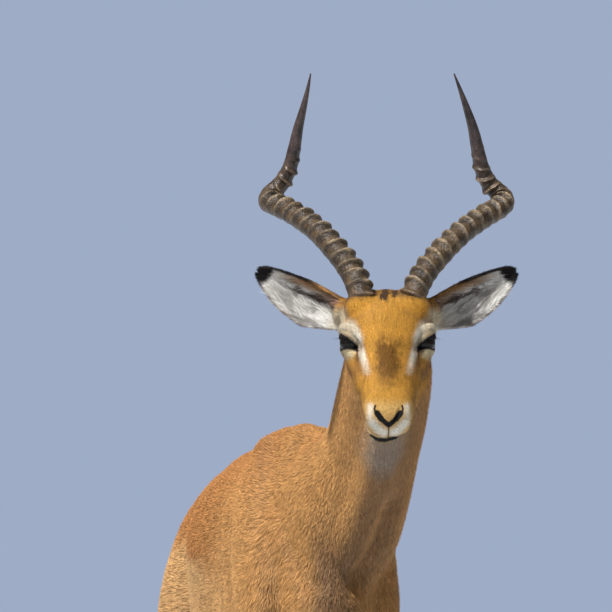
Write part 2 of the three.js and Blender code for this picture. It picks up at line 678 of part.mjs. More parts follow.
const neck = skinOf(flesh, lines(-120, [130, 30]), lines(-400, [20, 30]), lines(610, [1150, 30]))
  .intersect(beyond(NECK_ROOT.point, NECK_ROOT.normal))
  .subtract(beyond(NAPE.point, NAPE.normal, -GAP));

let head = skinOf(flesh, lines(-95, [135, 16]), lines(-640, [-280, 16]), lines(878, [1165, 16]))
  .intersect(beyond(NAPE.point, NAPE.normal));
for (const side of [1, -1]) {
  head = head.subtract(eye(side, GAP)).subtract(horn(side, GAP)).subtract(ear(side, EAR_GAP));
}

// Lower legs are slender, so their grids are close across and open along.
const foreZ = lines(20, [125, 15], [300, 58], [360, 20], [630, 45]);
const hindZ = lines(20, [125, 15], [330, 60], [440, 28], [745, 44]);
const legSkins = {
  foreleg_left: skinOf(flesh, lines(20, [150, 13]), lines(-120, [120, 15]), foreZ),
  foreleg_right: skinOf(flesh, lines(-150, [-20, 13]), lines(-120, [120, 15]), foreZ),
  hindleg_left: skinOf(flesh, lines(-14, [170, 16]), lines(430, [800, 18]), hindZ),
  hindleg_right: skinOf(flesh, lines(-140, [42, 16]), lines(430, [800, 18]), hindZ),
};
const legParts = {};
for (const [name, skin] of Object.entries(legSkins)) {
  legParts[name] = skin.intersect(regions[name]()).subtract(tail(GAP));
}

const hooves = {};
const FEET = {
  fore_left: [FRONT_HOOF_X, -46 + STRIDE.left_fore * 0.97],
  fore_right: [-FRONT_HOOF_X, -46 + STRIDE.right_fore * 0.97],
  hind_left: [HIND_HOOF_X, 642 + STRIDE.left_hind * 0.97],
  hind_right: [-HIND_HOOF_X, 642 + STRIDE.right_hind * 0.97],
};
for (const [foot, [x, y]] of Object.entries(FEET)) {
  hooves[`hoof_${foot}_outer`] = claw(x + swayed(y), y, Math.sign(x));
  hooves[`hoof_${foot}_inner`] = claw(x + swayed(y), y, -Math.sign(x));
}

// ---------------------------------------------------------------- the group

const paint = (color, roughness) => new THREE.MeshStandardMaterial({ color, roughness, metalness: 0 });
const COAT = paint(0xb57a3c, 0.75);
const PALE = paint(0xc9ab80, 0.75);
const HORN = paint(0x4a3d33, 0.45);
const EYEBALL = paint(0x150d08, 0.12);
const HOOF = paint(0x1d1917, 0.4);

const impala = new THREE.Group();

function add(name, part, material) {
  const geometry = tidied(part.getMesh());
  geometry.computeVertexNormals();
  const node = new THREE.Mesh(geometry, material);
  node.name = name;
  impala.add(node);
}

add("trunk", trunk, COAT);
add("neck", neck, COAT);
add("head", head, COAT);
add("tail", tail(), COAT);
for (const [name, part] of Object.entries(ears)) add(name, part, COAT);
for (const [name, part] of Object.entries(legParts)) add(name, part, PALE);
for (const [name, part] of Object.entries(eyes)) add(name, part, EYEBALL);
for (const [name, part] of Object.entries(horns)) add(name, part, HORN);
for (const [name, part] of Object.entries(hooves)) add(name, part, HOOF);

const extent = new THREE.Box3().setFromObject(impala);
const centre = extent.getCenter(new THREE.Vector3());
impala.position.set(-centre.x, -centre.y, -extent.min.z);

export default impala;
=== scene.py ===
# %% [markdown]
# # A life-size impala ram
# An impala is a slim African antelope. This one stands square with its neck up and its head turned to the
# viewer. The rigid model that comes with the frame gives every size; this script gives it skin, hair, horn,
# eyes and hooves. Each step says what the real thing is like, how it might be made, and why it is made so.

import math

import bpy
import numpy as np
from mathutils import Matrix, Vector


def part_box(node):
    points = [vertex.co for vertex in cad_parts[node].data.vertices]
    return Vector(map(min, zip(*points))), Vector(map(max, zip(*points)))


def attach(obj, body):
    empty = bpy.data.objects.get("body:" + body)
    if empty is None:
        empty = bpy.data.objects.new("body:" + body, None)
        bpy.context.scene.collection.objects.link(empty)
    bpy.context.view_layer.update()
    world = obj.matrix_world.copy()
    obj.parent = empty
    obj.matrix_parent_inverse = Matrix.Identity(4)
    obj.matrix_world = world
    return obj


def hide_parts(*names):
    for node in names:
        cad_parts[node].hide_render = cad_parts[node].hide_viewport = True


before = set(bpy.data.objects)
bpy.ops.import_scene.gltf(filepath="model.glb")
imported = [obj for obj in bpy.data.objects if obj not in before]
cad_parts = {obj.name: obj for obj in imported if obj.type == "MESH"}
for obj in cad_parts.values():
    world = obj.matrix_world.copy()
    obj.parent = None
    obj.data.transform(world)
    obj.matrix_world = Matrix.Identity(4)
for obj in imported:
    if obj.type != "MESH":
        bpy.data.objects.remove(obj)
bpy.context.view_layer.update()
rng = np.random.default_rng(11)
METRE = 0.001  # the shapes below are drawn in millimetres

# %% [markdown]
# ## The flesh as a field
# Flesh has no edges: muscles and bones melt into each other. Such a form could be sculpted by hand or built
# from subdivided boxes, but a field gives it in a few numbers. Each muscle or bone is a soft tube, a row of
# stations with a place and two half widths, and neighbouring tubes melt together. The same tubes shape the
# rigid model, so skin and model agree everywhere.


# %% Soft tubes
TUBE_STEPS = 4


def shares(steps):
    return np.arange(steps)[:, None] / steps


def bent(b, c, leave, arrive, t):
    """The places at those shares of the curve from b to c that has those slopes at its ends."""
    return b + t * (leave + t * (3 * (c - b) - 2 * leave - arrive + t * (2 * (b - c) + leave + arrive)))


def curve_between(stations):
    """Stations with Catmull-Rom stations added between them."""
    rows = np.array((stations[0], *stations, stations[-1]), float)
    made = [bent(b, c, (c - a) / 2, (d - b) / 2, shares(TUBE_STEPS))
            for a, b, c, d in zip(rows[:-3], rows[1:-2], rows[2:-1], rows[3:])]
    return np.concatenate((*made, rows[-1:]))


class Tube:
    def __init__(self, blend, *stations):
        self.blend, self.points = blend, curve_between(stations)
        reach = self.points[:, [3, 4, 4]]
        self.low = (self.points[:, :3] - reach).min(0)
        self.high = (self.points[:, :3] + reach).max(0)

    def distance(self, p):
        """How far each point is outside the tube's elliptical sections, negative inside."""
        nearest = np.full(len(p), 1e9)
        for a, b in zip(self.points[:-1], self.points[1:]):
            along = b[:3] - a[:3]
            off = p - a[:3]
            t = np.clip(off @ along / (along @ along), 0, 1)
            off = off - t[:, None] * along
            across, deep = np.abs(off[:, 0]), np.hypot(off[:, 1], off[:, 2])
            w, h = a[3] + t * (b[3] - a[3]), a[4] + t * (b[4] - a[4])
            k0 = np.hypot(across / w, deep / h)
            k1 = np.hypot(across / w**2, deep / h**2)
            here = np.where(k1 < 1e-9, -np.minimum(w, h), k0 * (k0 - 1) / np.maximum(k1, 1e-9))
            nearest = np.minimum(nearest, here)
        return nearest


def length_of(v):
    return np.linalg.norm(v, axis=-1)


def melt(a, b, reach):
    """The nearer of two surfaces, rounded where they meet within that reach."""
    h = np.maximum(reach - np.abs(a - b), 0) / reach
    return np.minimum(a, b) - h**3 * reach / 6


def melt_tubes(tubes, p, d=None):
    """Tubes melted together, and with the surface d where one is given."""
    d = np.full(len(p), 1e3) if d is None else d.copy()
    for tube in tubes:
        away = np.maximum(tube.low - p, 0) + np.maximum(p - tube.high, 0)
        near = length_of(away) < d + tube.blend
        if near.any():
            d[near] = melt(d[near], tube.distance(p[near]), tube.blend)
    return d


def smooth(low, high, value):
    """0 at low and 1 at high, with an even slope between; low may be the larger."""
    t = np.clip((value - low) / (high - low), 0, 1)
    return t * t * (3 - 2 * t)


def lumps(p, seed=0):
    """Soft noise from -1 to 1, its lumps one unit apart."""
    cell = np.floor(p).astype(np.int64)
    share = smooth(0, 1, p - cell)
    total = np.zeros(len(p))
    for corner in np.ndindex(2, 2, 2):  # each corner of the cell gets a number from mixing its bits
        x, y, z = (cell + corner).T
        h = (x * 73856093 ^ y * 19349663 ^ z * 83492791 ^ (seed + 1) * 49979687) & 0xFFFFFF
        h = (h * (h & 0xFFFF) + h * 15731 + 1376312589) >> 7 & 0xFFFF
        total += np.prod(np.where(corner, share, 1 - share), axis=1) * (h / 0x7FFF - 1)
    return total


# %% [markdown]
# ## Trunk, neck and legs
# Ribs, loins and rump are three long tubes that overlap. The shoulder blade, thigh and hamstring lie over
# them in pairs. A leg is bone and cord under thin skin, so its stations follow the joints: knee or hock,
# fetlock, pastern.


# %% Tubes of the body
KNEE, HOCK, FETLOCK, CORONET = 322, 380, 102, 47
FORE_FOOT_X, HIND_FOOT_X = 66, 70
STRIDE = {"fore_left": -34, "fore_right": 22, "hind_left": -30, "hind_right": 48}
SWAY = 14  # the hips stand this far to the left

middle = [
    Tube(30, (0, -66, 700, 70, 114), (0, 30, 706, 92, 156), (0, 160, 692, 110, 148), (0, 250, 682, 117, 136),
         (0, 340, 690, 108, 122), (0, 430, 708, 94, 114), (0, 540, 720, 74, 100), (0, 610, 728, 62, 88)),
    Tube(24, (0, 40, 784, 86, 118), (0, 130, 770, 111, 126), (0, 240, 754, 124, 132), (0, 330, 746, 114, 129),
         (0, 430, 738, 97, 121), (0, 540, 730, 79, 117), (0, 620, 722, 67, 106), (0, 684, 706, 48, 74)),
    Tube(26, (4, -70, 862, 26, 44), (0, 0, 884, 25, 40), (0, 70, 882, 24, 36), (0, 150, 864, 21, 30)),
    Tube(34, (0, -128, 668, 36, 46), (0, -70, 612, 36, 42), (0, 40, 584, 34, 34)),
]
withers = [Tube(26, (20, -24, 880, 18, 32), (22, 24, 886, 18, 32), (22, 80, 880, 18, 30))]
neck = [
    Tube(46, (0, 30, 765, 80, 118), (5, -30, 778, 86, 112), (22, -90, 806, 81, 100), (36, -150, 850, 68, 86),
         (42, -205, 898, 61, 76), (42, -262, 950, 61, 66), (40, -312, 1000, 58, 56), (35, -335, 1030, 49, 50)),
    Tube(30, (8, 0, 864, 24, 28), (30, -100, 886, 24, 28), (39, -180, 948, 24, 30), (41, -240, 1006, 24, 30),
         (41, -300, 1049, 26, 30)),
    Tube(26, (22, -170, 778, 28, 34), (34, -262, 868, 25, 30), (36, -340, 955, 24, 28)),
]
sides = [
    Tube(30, (39, 54, 868, 28, 40), (55, 20, 816, 32, 54), (67, -20, 755, 36, 68), (75, -56, 690, 33, 64),
         (72, -34, 636, 31, 58), (74, 8, 596, 31, 58), (75, 34, 562, 26, 44)),
    Tube(36, (36, 590, 742, 32, 52), (55, 588, 692, 35, 88), (73, 560, 640, 40, 92), (80, 530, 590, 34, 60)),
    Tube(34, (32, 672, 694, 32, 46), (49, 686, 648, 35, 48), (62, 655, 590, 32, 50)),
    Tube(26, (66, 430, 622, 28, 30), (80, 500, 598, 22, 34)),
]


def leg(side, stride, top, rows):
    """Tubes of one leg, its stations moved along by the stride, more so the lower they are."""
    def stepped(x, y, z, w, h):
        return side * x, y + stride * max(0, 1 - z / top), z, w, h
    return [Tube(blend, *(stepped(*s) for s in stations)) for blend, *stations in rows]


def foreleg(side, stride):
    x = FORE_FOOT_X
    return leg(side, stride, 640, [
        (24, (76, 18, 575, 28, 46), (74, 6, 510, 24, 35), (72, -2, 440, 18.5, 25), (x + 3, -6, KNEE + 45, 14.5, 18),
         (x + 2, -9, KNEE + 12, 17, 19), (x + 2, -9, KNEE - 12, 16, 17.5), (x + 1, -6, KNEE - 40, 11.5, 14),
         (x + 1, -4, 200, 10.5, 12.5), (x, -4, FETLOCK + 30, 11.5, 13.5), (x, -2, FETLOCK, 15, 17.5),
         (x, -16, 72, 13, 15), (x, -34, 46, 17, 19), (x, -40, 30, 18, 19)),
        (16, (78, 44, 588, 12, 22), (77, 48, 556, 11, 16)),
    ])


def hindleg(side, stride):
    x = HIND_FOOT_X
    return leg(side, stride, 690, [
        (28, (80, 545, 598, 34, 58), (78, 592, 528, 27, 46), (75, 648, 458, 18.5, 32),
         (x + 1, 697, HOCK + 18, 15.5, 26), (x, 709, HOCK - 14, 15, 22), (x, 704, HOCK - 58, 12.5, 16.5),
         (x, 698, 230, 11, 13.5), (x, 693, FETLOCK + 36, 11.5, 14), (x, 690, FETLOCK + 3, 15, 18),
         (x, 674, 74, 13, 15), (x, 654, 46, 17, 19), (x, 647, 30, 18, 19)),
        (18, (78, 655, 560, 16, 26), (75, 688, 490, 13, 19), (72, 715, 430, 12.5, 18),
         (x + 1, 727, HOCK + 20, 12.5, 15), (x, 724, HOCK - 8, 12.5, 14)),
    ])


legs = [tube for foot, stride in STRIDE.items()
        for tube in (foreleg if "fore" in foot else hindleg)(1 if "left" in foot else -1, stride)]
TAIL_LINE = ((684, 782), (718, 778), (746, 752), (759, 708), (765, 648), (768, 590), (768, 540))
TAIL_HALF = (13, 13, 15, 17, 16, 12, 3)
DOCK = 0.62  # the share of the tail's width that is flesh; the rest is hair
tail = Tube(20, *((0, y, z, DOCK * half + 1.5, 0.55 * DOCK * half + 2)
                  for (y, z), half in zip(TAIL_LINE[:-1], TAIL_HALF[:-1])))
print("tubes", len(middle + neck + sides + legs))

# %% [markdown]
# ## The head
# The head is drawn in axes of its own: across, forward along the nose, and up from the line of the eyes. It
# is then turned to the right and dipped. Drawn this way its two sides match, whatever the pose.


# %% Head axes
HEAD_AT = np.array((18.0, -420.0, 1040.0))  # the point between the eyes
HEAD_TURN, HEAD_DIP = math.radians(11), math.radians(30.5)


def turn_z(angle):
    c, s = math.cos(angle), math.sin(angle)
    return np.array(((c, -s, 0), (s, c, 0), (0, 0, 1)))


def turn_x(angle):
    c, s = math.cos(angle), math.sin(angle)
    return np.array(((1, 0, 0), (0, c, -s), (0, s, c)))


head_axes = turn_z(math.pi - HEAD_TURN) @ turn_x(-HEAD_DIP) @ np.diag((-1, 1, 1))
TILT = math.radians(31.5)  # from the nose's line to the line of sight


def into_head(p):
    return (p - HEAD_AT) @ head_axes


def from_head(h):
    return np.asarray(h) @ head_axes.T + HEAD_AT


def seen(h):
    """Head axes turned to face the viewer: out from the midline, towards the viewer, and up."""
    c, s = math.cos(TILT), math.sin(TILT)
    return np.stack((np.abs(h[:, 0]), c * h[:, 1] + s * h[:, 2], c * h[:, 2] - s * h[:, 1]), 1)


def mirrored(p):
    return np.hstack((np.abs(p[:, :1]), p[:, 1:]))


# %% Tubes of the head
EYE = np.array((43.5, 2.0, 0.0))
EYE_RADIUS = 16.0
HORN_ROOT = np.array((33.0, -50.0, 37.0))

head_middle = [
    Tube(18, (0, -82, -8, 41, 32), (0, -46, 0, 51, 43), (0, -6, 0, 51, 45), (0, 34, -4, 41, 39), (0, 76, -9, 37, 33),
         (0, 116, -12, 35, 30), (0, 142, -12, 32, 27), (0, 152, -13, 28, 24)),
    # the lower jaw, its front pushed a little to the right, as when chewing the cud
    Tube(16, (0, -48, -54, 32, 30), (0, 4, -50, 34, 22), (0, 62, -45, 33, 17), (-2, 112, -47, 28, 15),
         (-5, 137, -49.5, 19.5, 13)),
]
head_sides = [
    Tube(16, (26, -46, -44, 20, 34), (31, -10, -35, 17, 28), (31, 28, -27, 15, 21)),  # masseter
    Tube(12, (46, -26, -18, 11, 11), (42, 14, -21, 11, 11), (36, 44, -18, 11, 13), (30, 84, -14, 10, 14)),  # cheek
    Tube(8, (38, 8, 11, 7, 7), (45, 3, 16.5, 7.5, 7), (52.5, -6, 14, 7.5, 7.5), (53.5, -20, 4, 8.5, 8.5)),  # brow
    Tube(10, (35, 29, -6, 7, 7), (45, 15, -9, 10, 10), (50, -6, -15, 10, 9), (52, -22, -4, 9, 9)),  # below the eye
    Tube(14, (30, -62, 19, 22, 18), (31, -36, 27, 24, 20)),  # horn pedicle
    Tube(18, (44, -72, -8, 18, 22), (54, -76, -6, 17, 20)),  # root of the ear
    Tube(9, (14, 142, -3, 16, 16), (14, 158, -10, 15, 14)),  # nostril wing
    Tube(9, (13, 138, -24, 17, 14), (12, 156, -26, 15, 12)),  # upper lip
]
head_hollows = [Tube(6, (46, 14, 7, 8, 8), (41, 25, 9, 6, 7), (38, 42, 17, 4, 6))]
nostrils = [Tube(2, (19, 160, 11, 3.2, 4.2), (15.5, 166, 7, 4.0, 5.0), (11.5, 171, -1, 3.0, 4.2),
                 (6.5, 175, -9, 1.6, 2.4))]
mouth_line = [Tube(2, (0, 161, -43.5, 1.6, 1.4), (12, 157, -43.5, 1.6, 1.4), (21, 147, -42, 1.5, 1.4),
                   (28, 131, -38.5, 1.5, 1.3), (31, 112, -34, 1.5, 1.2))]
philtrum = [Tube(2, (0, 178, -17, 0.9, 1.2), (0, 173, -33, 0.9, 1.2))]
temple = Tube(10, (48, -26, 4, 9, 9), (49, -44, 8, 9, 10), (49, -60, 5, 10, 12))  # hair from brow to ear
lip = Tube(8, (11, 118, -33, 12, 8), (9, 148, -36.5, 10, 8))  # the upper lip, hanging over the lower
HEAD_BLEND, HOLLOW_BLEND, HEAD_REACH = 34, 8, 330


def head_distance(h):
    out = mirrored(h)
    full = melt_tubes(head_sides, out, melt_tubes(head_middle, h))
    return -melt(-full, melt_tubes(head_hollows, out), HOLLOW_BLEND)


def swayed(y):
    return SWAY * (np.maximum(0, y) / 600) ** 2


def unswayed(p):
    """The points as they would lie if the hips stood in line with the chest."""
    return p - swayed(p[:, 1])[:, None] * (1, 0, 0)


def line_distance(q, line):
    """How far each point is from a line of straight pieces, in as many dimensions as the line has."""
    rows = np.array(line, float)
    found = np.full(len(q), 1e3)
    for a, b in zip(rows[:-1], rows[1:]):
        t = np.clip((q - a) @ (b - a) / ((b - a) @ (b - a)), 0, 1)
        found = np.minimum(found, length_of(q - a - t[:, None] * (b - a)))
    return found


def flesh(p):
    """The outside of the hair: the same field that shapes the rigid model."""
    beside = unswayed(p)
    d = melt_tubes(middle + neck, beside)
    d = melt_tubes(sides + withers, mirrored(beside), d)
    d = melt_tubes(legs, beside, d)
    near = length_of(p - HEAD_AT) < HEAD_REACH
    d[near] = melt(d[near], head_distance(into_head(p[near])), HEAD_BLEND)
    return d


# %% [markdown]
# ## Eyelids, ears and the depth of the coat
# The lids are a thin shell round the eyeball with an almond cut out of it. The almond is drawn by how far
# up or down the lid's edge stands at each bearing round the eye, so the opening wraps round the side of
# the head as it does on prey animals. An ear is a bowl-shaped sheet with a straight upper and a bellied lower
# edge. The skin then lies under the flesh field by the depth of the hair: little on face, ears and legs.


# %% Lids and ears
LID = 2.4  # how thick the lids are
LID_BEARING = (-37, -25, -13, 2, 21, 40, 66, 90, 112, 128)  # degrees out from straight ahead
LID_UPPER = (-44, -32, -18, -6, 10, 15, 18, 17, 10, 0)
LID_LOWER = (-44, -39, -32, -26, -23, -26, -33, -33, -22, -4)
FOLD_ABOVE = 5.0  # from the upper lid's edge to its fold


def round_eye(h):
    """Distance from the eye's middle, how far inside the lids' opening, and how far under the upper lid's edge."""
    off = seen(h) - seen(EYE[None])
    r = length_of(off)
    bearing = np.degrees(np.arctan2(off[:, 0], off[:, 1]))
    height = np.degrees(np.arcsin(np.clip(off[:, 2] / np.maximum(r, 1e-6), -1, 1)))
    above = np.interp(bearing, LID_BEARING, LID_UPPER) - height
    below = height - np.interp(bearing, LID_BEARING, LID_LOWER)
    return r, np.radians(np.minimum(above, below)) * r, np.radians(above) * r


EAR_LENGTH, EAR_CUP, EAR_WALL, EAR_END = 132, 17, 4.0, 0.995
EAR_GRID_WALL = 6.8  # on the grid the ears are drawn thick, so that no cell falls through them
EAR_ROOT = (50, -74, -4)


def ear_axes(side):
    """Along the ear, across it towards its upper edge, and out of its cup."""
    along = np.array((0.845, 0.377, 0.377))
    along /= np.linalg.norm(along)
    facing = np.array((0.36, -0.93, 0.06))
    facing -= along * (facing @ along)
    facing /= np.linalg.norm(facing)
    across = -np.cross(along, facing)
    rows = np.stack((along, across, facing)) * (side, 1, 1)
    return rows @ turn_z(-HEAD_TURN).T


def into_ear(p, side):
    root = from_head(np.array(EAR_ROOT) * (side, 1, 1))
    return (p - root) @ ear_axes(side).T


def ear_upper(t):
    return 16.5 * np.sqrt(np.maximum(0, 1 - t**4)) * (0.7 + 0.3 * np.minimum(1, t / 0.45))


def ear_lower(t):
    return 39 * np.maximum(0, 1 - t**3) ** 0.85 * (0.55 + 0.45 * np.minimum(1, t / 0.38))


def ear_depth(t):
    return EAR_CUP * (1 - t**3) * (0.5 + 0.5 * np.minimum(1, t / 0.25))


def ear_shares(e):
    """Shares of the ear's length and breadth, the breadth itself, and the depth of the bowl there."""
    t = np.clip(e[:, 0] / EAR_LENGTH, 0, EAR_END)
    span = np.where(e[:, 1] > 0, ear_upper(t), ear_lower(t))
    s = np.clip(e[:, 1] / np.maximum(span, 0.5), -1, 1)
    return t, s, span, ear_depth(t) * (1 - s * s)


def near_ear(e, breadth, depth):
    return (np.abs(e[:, 1]) < breadth) & (e[:, 0] < 140) & (np.abs(e[:, 2] + 8) < depth)


def ear_distance(p, side, wall=EAR_WALL):
    e = into_ear(p, side)
    t, s, span, bowl = ear_shares(e)
    steep = 2 * ear_depth(t) * np.abs(s) / np.maximum(span, 4)
    past = np.maximum(np.maximum(e[:, 1] - ear_upper(t), -e[:, 1] - ear_lower(t)), 0)
    narrowing = 1 / np.sqrt(1 + (2.2 * t**6) ** 2)
    ends = np.maximum(np.maximum(e[:, 0] - EAR_END * EAR_LENGTH, -0.16 * EAR_LENGTH - e[:, 0]), 0)
    through = (e[:, 2] + bowl) / np.sqrt(1 + steep**2)
    return np.sqrt(through**2 + (past * narrowing) ** 2 + ends**2) - wall / 2


COAT_DEPTH, SHORTER, MUZZLE_SHORTER = 4.4, 2.6, 0.8  # on the body, and how much less on face, legs and muzzle


def coat_depth(p):
    """How deep the hair is, in millimetres, before ears and tail are added."""
    h = into_head(p)
    face = smooth(-110, -30, h[:, 1]) * smooth(HEAD_REACH, 240, length_of(h))
    muzzle = smooth(90, 150, h[:, 1]) * face
    shin = smooth(600, 470, p[:, 2])
    return COAT_DEPTH - SHORTER * np.maximum(face, shin) - MUZZLE_SHORTER * muzzle


SKIN_REACH = 260  # every detail of the head and ears lies this near its middle
LID_BLEND, EAR_BLEND, CUT_BLEND = 5, 9, 2
FOLD_DEPTH, HORN_DIP = 0.35, 2.5  # a fold over each upper lid, and a dip between the horns
SHOULDER_GROOVE = ((57, 826), (44, 780), (24, 724))  # out and up: between neck and shoulder point
GROOVE_DEPTH, GROOVE_HALF = 8, 11


def slimmer(beside):
    """How much further the skin lies in: at the ribs, and in the groove that parts neck and shoulder."""
    x, y, z = np.abs(beside[:, 0]), beside[:, 1], beside[:, 2]
    ribs = smooth(60, 130, y) * smooth(600, 480, y) * smooth(30, 60, x)
    across = line_distance(np.stack((x, z), 1), SHOULDER_GROOVE) / GROOVE_HALF
    return (4 + 3.5 * smooth(640, 700, z)) * ribs + GROOVE_DEPTH * np.exp(-(across**2)) * smooth(-40, -80, y)


def skin(p, ear_wall=EAR_WALL):
    beside = unswayed(p)
    d = melt_tubes([tail], beside, flesh(p) + coat_depth(p) + slimmer(beside))
    near = length_of(p - HEAD_AT) < SKIN_REACH
    if near.any():
        q, h = p[near], into_head(p[near])
        out = mirrored(h)
        dn = melt_tubes([temple, lip], out, d[near])
        r, open_by, under = round_eye(h)
        dn = melt(dn, r - EYE_RADIUS - LID, LID_BLEND)
        dn = dn + FOLD_DEPTH * np.exp(-((under + FOLD_ABOVE) ** 2) / 1.2) * smooth(30, 20, r)
        dn = dn + HORN_DIP * smooth(24, 8, np.abs(h[:, 0])) * smooth(48, 62, seen(h)[:, 2])
        dn = np.maximum(dn, np.where(r < 30, np.minimum(open_by, r - EYE_RADIUS + 2), -1e3))
        for cut in (nostrils, mouth_line, philtrum):
            dn = -melt(-dn, melt_tubes(cut, out), CUT_BLEND)
        for side in (1, -1):
            dn = melt(dn, ear_distance(q, side, ear_wall), EAR_BLEND)
        d[near] = dn
    return np.maximum(d, CORONET - 9 - p[:, 2])  # the skin ends inside the hooves


def slope(field, p, step=0.5):
    """The field's value and its gradient."""
    here = field(p)
    grad = np.stack([field(p + step * axis) - here for axis in np.eye(3)], 1) / step
    return here, grad


# %% [markdown]
# ## One skin over the whole animal
# A field has no faces of its own. Voxel tools could mesh it, but they waste faces on the plain barrel and
# starve the face. Here the grid is close only at the head, legs and feet. Each cell that the surface crosses
# gets one point, which is then drawn onto the surface along the field's slope, so the skin is smooth.


# %% Grid and values
BLOCK = 4  # grid cells along each side of the blocks that are looked at first
MARGIN, STEEPEST = 4, 1.25  # how far, and by how much per millimetre, the field may differ over a block
FAR = 50
CHUNK = 60000  # points worked on at a time


def grid_lines(start, *spans):
    rows = [start]
    for end, cell in spans:
        count = math.ceil((end - rows[-1]) / cell)
        rows += list(np.linspace(rows[-1], end, count + 1)[1:])
    return np.array(rows, float)


def in_chunks(work, p):
    return np.concatenate([work(p[i:i + CHUNK]) for i in range(0, len(p), CHUNK)])


def cells_of(rows):
    return np.stack(np.meshgrid(*rows, indexing="ij"), -1)


def field_on(field, axes):
    """The field at the grid's points, exact near the surface and only its sign far from it."""
    groups = [np.arange(len(a)) // BLOCK for a in axes]
    low, high = ([np.array([end(a[g == n]) for n in range(g[-1] + 1)]) for a, g in zip(axes, groups)]
                 for end in (np.min, np.max))
    mids = cells_of((a + b) / 2 for a, b in zip(low, high))
    half = cells_of((b - a) / 2 + MARGIN for a, b in zip(low, high))
    coarse = in_chunks(field, mids.reshape(-1, 3)).reshape(mids.shape[:3])
    values = np.where(coarse < 0, -FAR, FAR).astype(np.float32)[np.ix_(*groups)]
    near = np.abs(coarse) < STEEPEST * length_of(half)
    points = np.stack(np.nonzero(near[np.ix_(*groups)]), 1)
    at = np.stack([a[points[:, n]] for n, a in enumerate(axes)], 1)
    values[tuple(points.T)] = in_chunks(field, at)
    return values


# %% Points and faces
def surface_net(values, axes):
    """One point for each cell that the surface crosses, and a quad round each grid edge that it crosses."""
    inside = values < 0
    corners = [tuple(slice(o, o - 1 or None) for o in (i, j, k)) for i in (0, 1) for j in (0, 1) for k in (0, 1)]
    count = sum(inside[c].astype(np.int8) for c in corners)
    active = (count > 0) & (count < 8)
    cell_of = np.full(values.shape, -1, np.int32)
    cells = np.stack(np.nonzero(active), 1)
    cell_of[tuple(cells.T)] = np.arange(len(cells))
    share, found = np.zeros((len(cells), 3)), np.zeros(len(cells))
    for axis in range(3):
        for m in range(4):
            start = np.zeros(3, int)
            start[(axis + 1) % 3], start[(axis + 2) % 3] = m & 1, m >> 1
            step = np.eye(3, dtype=int)[axis]
            a, b = values[tuple((cells + start).T)], values[tuple((cells + start + step).T)]
            crossed = (a < 0) != (b < 0)
            t = np.where(crossed, a / np.where(crossed, a - b, 1), 0)
            share += crossed[:, None] * (start + t[:, None] * step)
            found += crossed
    share /= found[:, None]
    low = np.stack([a[cells[:, n]] for n, a in enumerate(axes)], 1)
    high = np.stack([a[cells[:, n] + 1] for n, a in enumerate(axes)], 1)
    quads = []
    for axis in range(3):
        step, b, c = (np.eye(3, dtype=int)[n % 3] for n in (axis, axis + 1, axis + 2))
        lower = inside[tuple(slice(None, -1) if n == axis else slice(1, -1) for n in range(3))]
        upper = inside[tuple(slice(1, None) if n == axis else slice(1, -1) for n in range(3))]
        edge = np.stack(np.nonzero(lower != upper), 1) + b + c
        quad = np.stack([cell_of[tuple((edge - off).T)] for off in (b + c, c, 0 * b, b)], 1)
        out = inside[tuple(edge.T)]
        quads.append(np.where(out[:, None], quad, quad[:, ::-1]))
    return low + share * (high - low), np.concatenate(quads)


def drawn_on(field, p, reach):
    """Points moved onto the surface, by no more than the reach in each of three turns."""
    def work(q):
        for _ in range(3):
            d, grad = slope(field, q)
            size = np.maximum((grad**2).sum(1), 0.25)
            q = q + grad * np.clip(-d / size, -reach, reach)[:, None]
        return q
    return in_chunks(work, p)


def way_out(field, p):
    grad = in_chunks(lambda q: slope(field, q)[1], p)
    return grad / np.maximum(length_of(grad), 1e-6)[:, None]


# %% From drawing axes to the frame
# The rigid model's eye says how far the finished animal was moved from the axes it was drawn in.
left_eye = np.array([[float(c) for c in corner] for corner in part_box("eye_left")]).mean(0)
SHIFT = left_eye / METRE - from_head(EYE)


def placed(p):
    return (np.asarray(p) + SHIFT) * METRE


def fill_mesh(mesh, verts, faces):
    """A mesh from arrays: faces is a list of arrays, each with rows of one length."""
    sizes = np.concatenate([np.full(len(f), f.shape[1]) for f in faces])
    corners = np.concatenate([f.ravel() for f in faces]).astype(np.int32)
    mesh.vertices.add(len(verts))
    mesh.vertices.foreach_set("co", np.ascontiguousarray(verts, np.float32).ravel())
    mesh.loops.add(len(corners))
    mesh.loops.foreach_set("vertex_index", corners)
    mesh.polygons.add(len(sizes))
    starts = np.concatenate([[0], np.cumsum(sizes)[:-1]]).astype(np.int32)
    mesh.polygons.foreach_set("loop_start", starts)
    mesh.update(calc_edges=True)


def add_object(name, data):
    made = bpy.data.objects.new(name, data)
    bpy.context.collection.objects.link(made)
    return made


def add_piece(name, verts, faces, material, replaces=()):
    """A finished piece of the animal, from points in drawing axes."""
    mesh = bpy.data.meshes.new(name)
    fill_mesh(mesh, placed(verts), faces)
    mesh.shade_smooth()
    piece = add_object(name, mesh)
    mesh.materials.append(material)
    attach(piece, "root")
    if replaces:
        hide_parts(*replaces)
    return piece


def give_colour(mesh, name, rgb):
    layer = mesh.attributes.new(name, "FLOAT_COLOR", "POINT")
    layer.data.foreach_set("color", np.column_stack((rgb, np.ones(len(rgb)))).astype(np.float32).ravel())


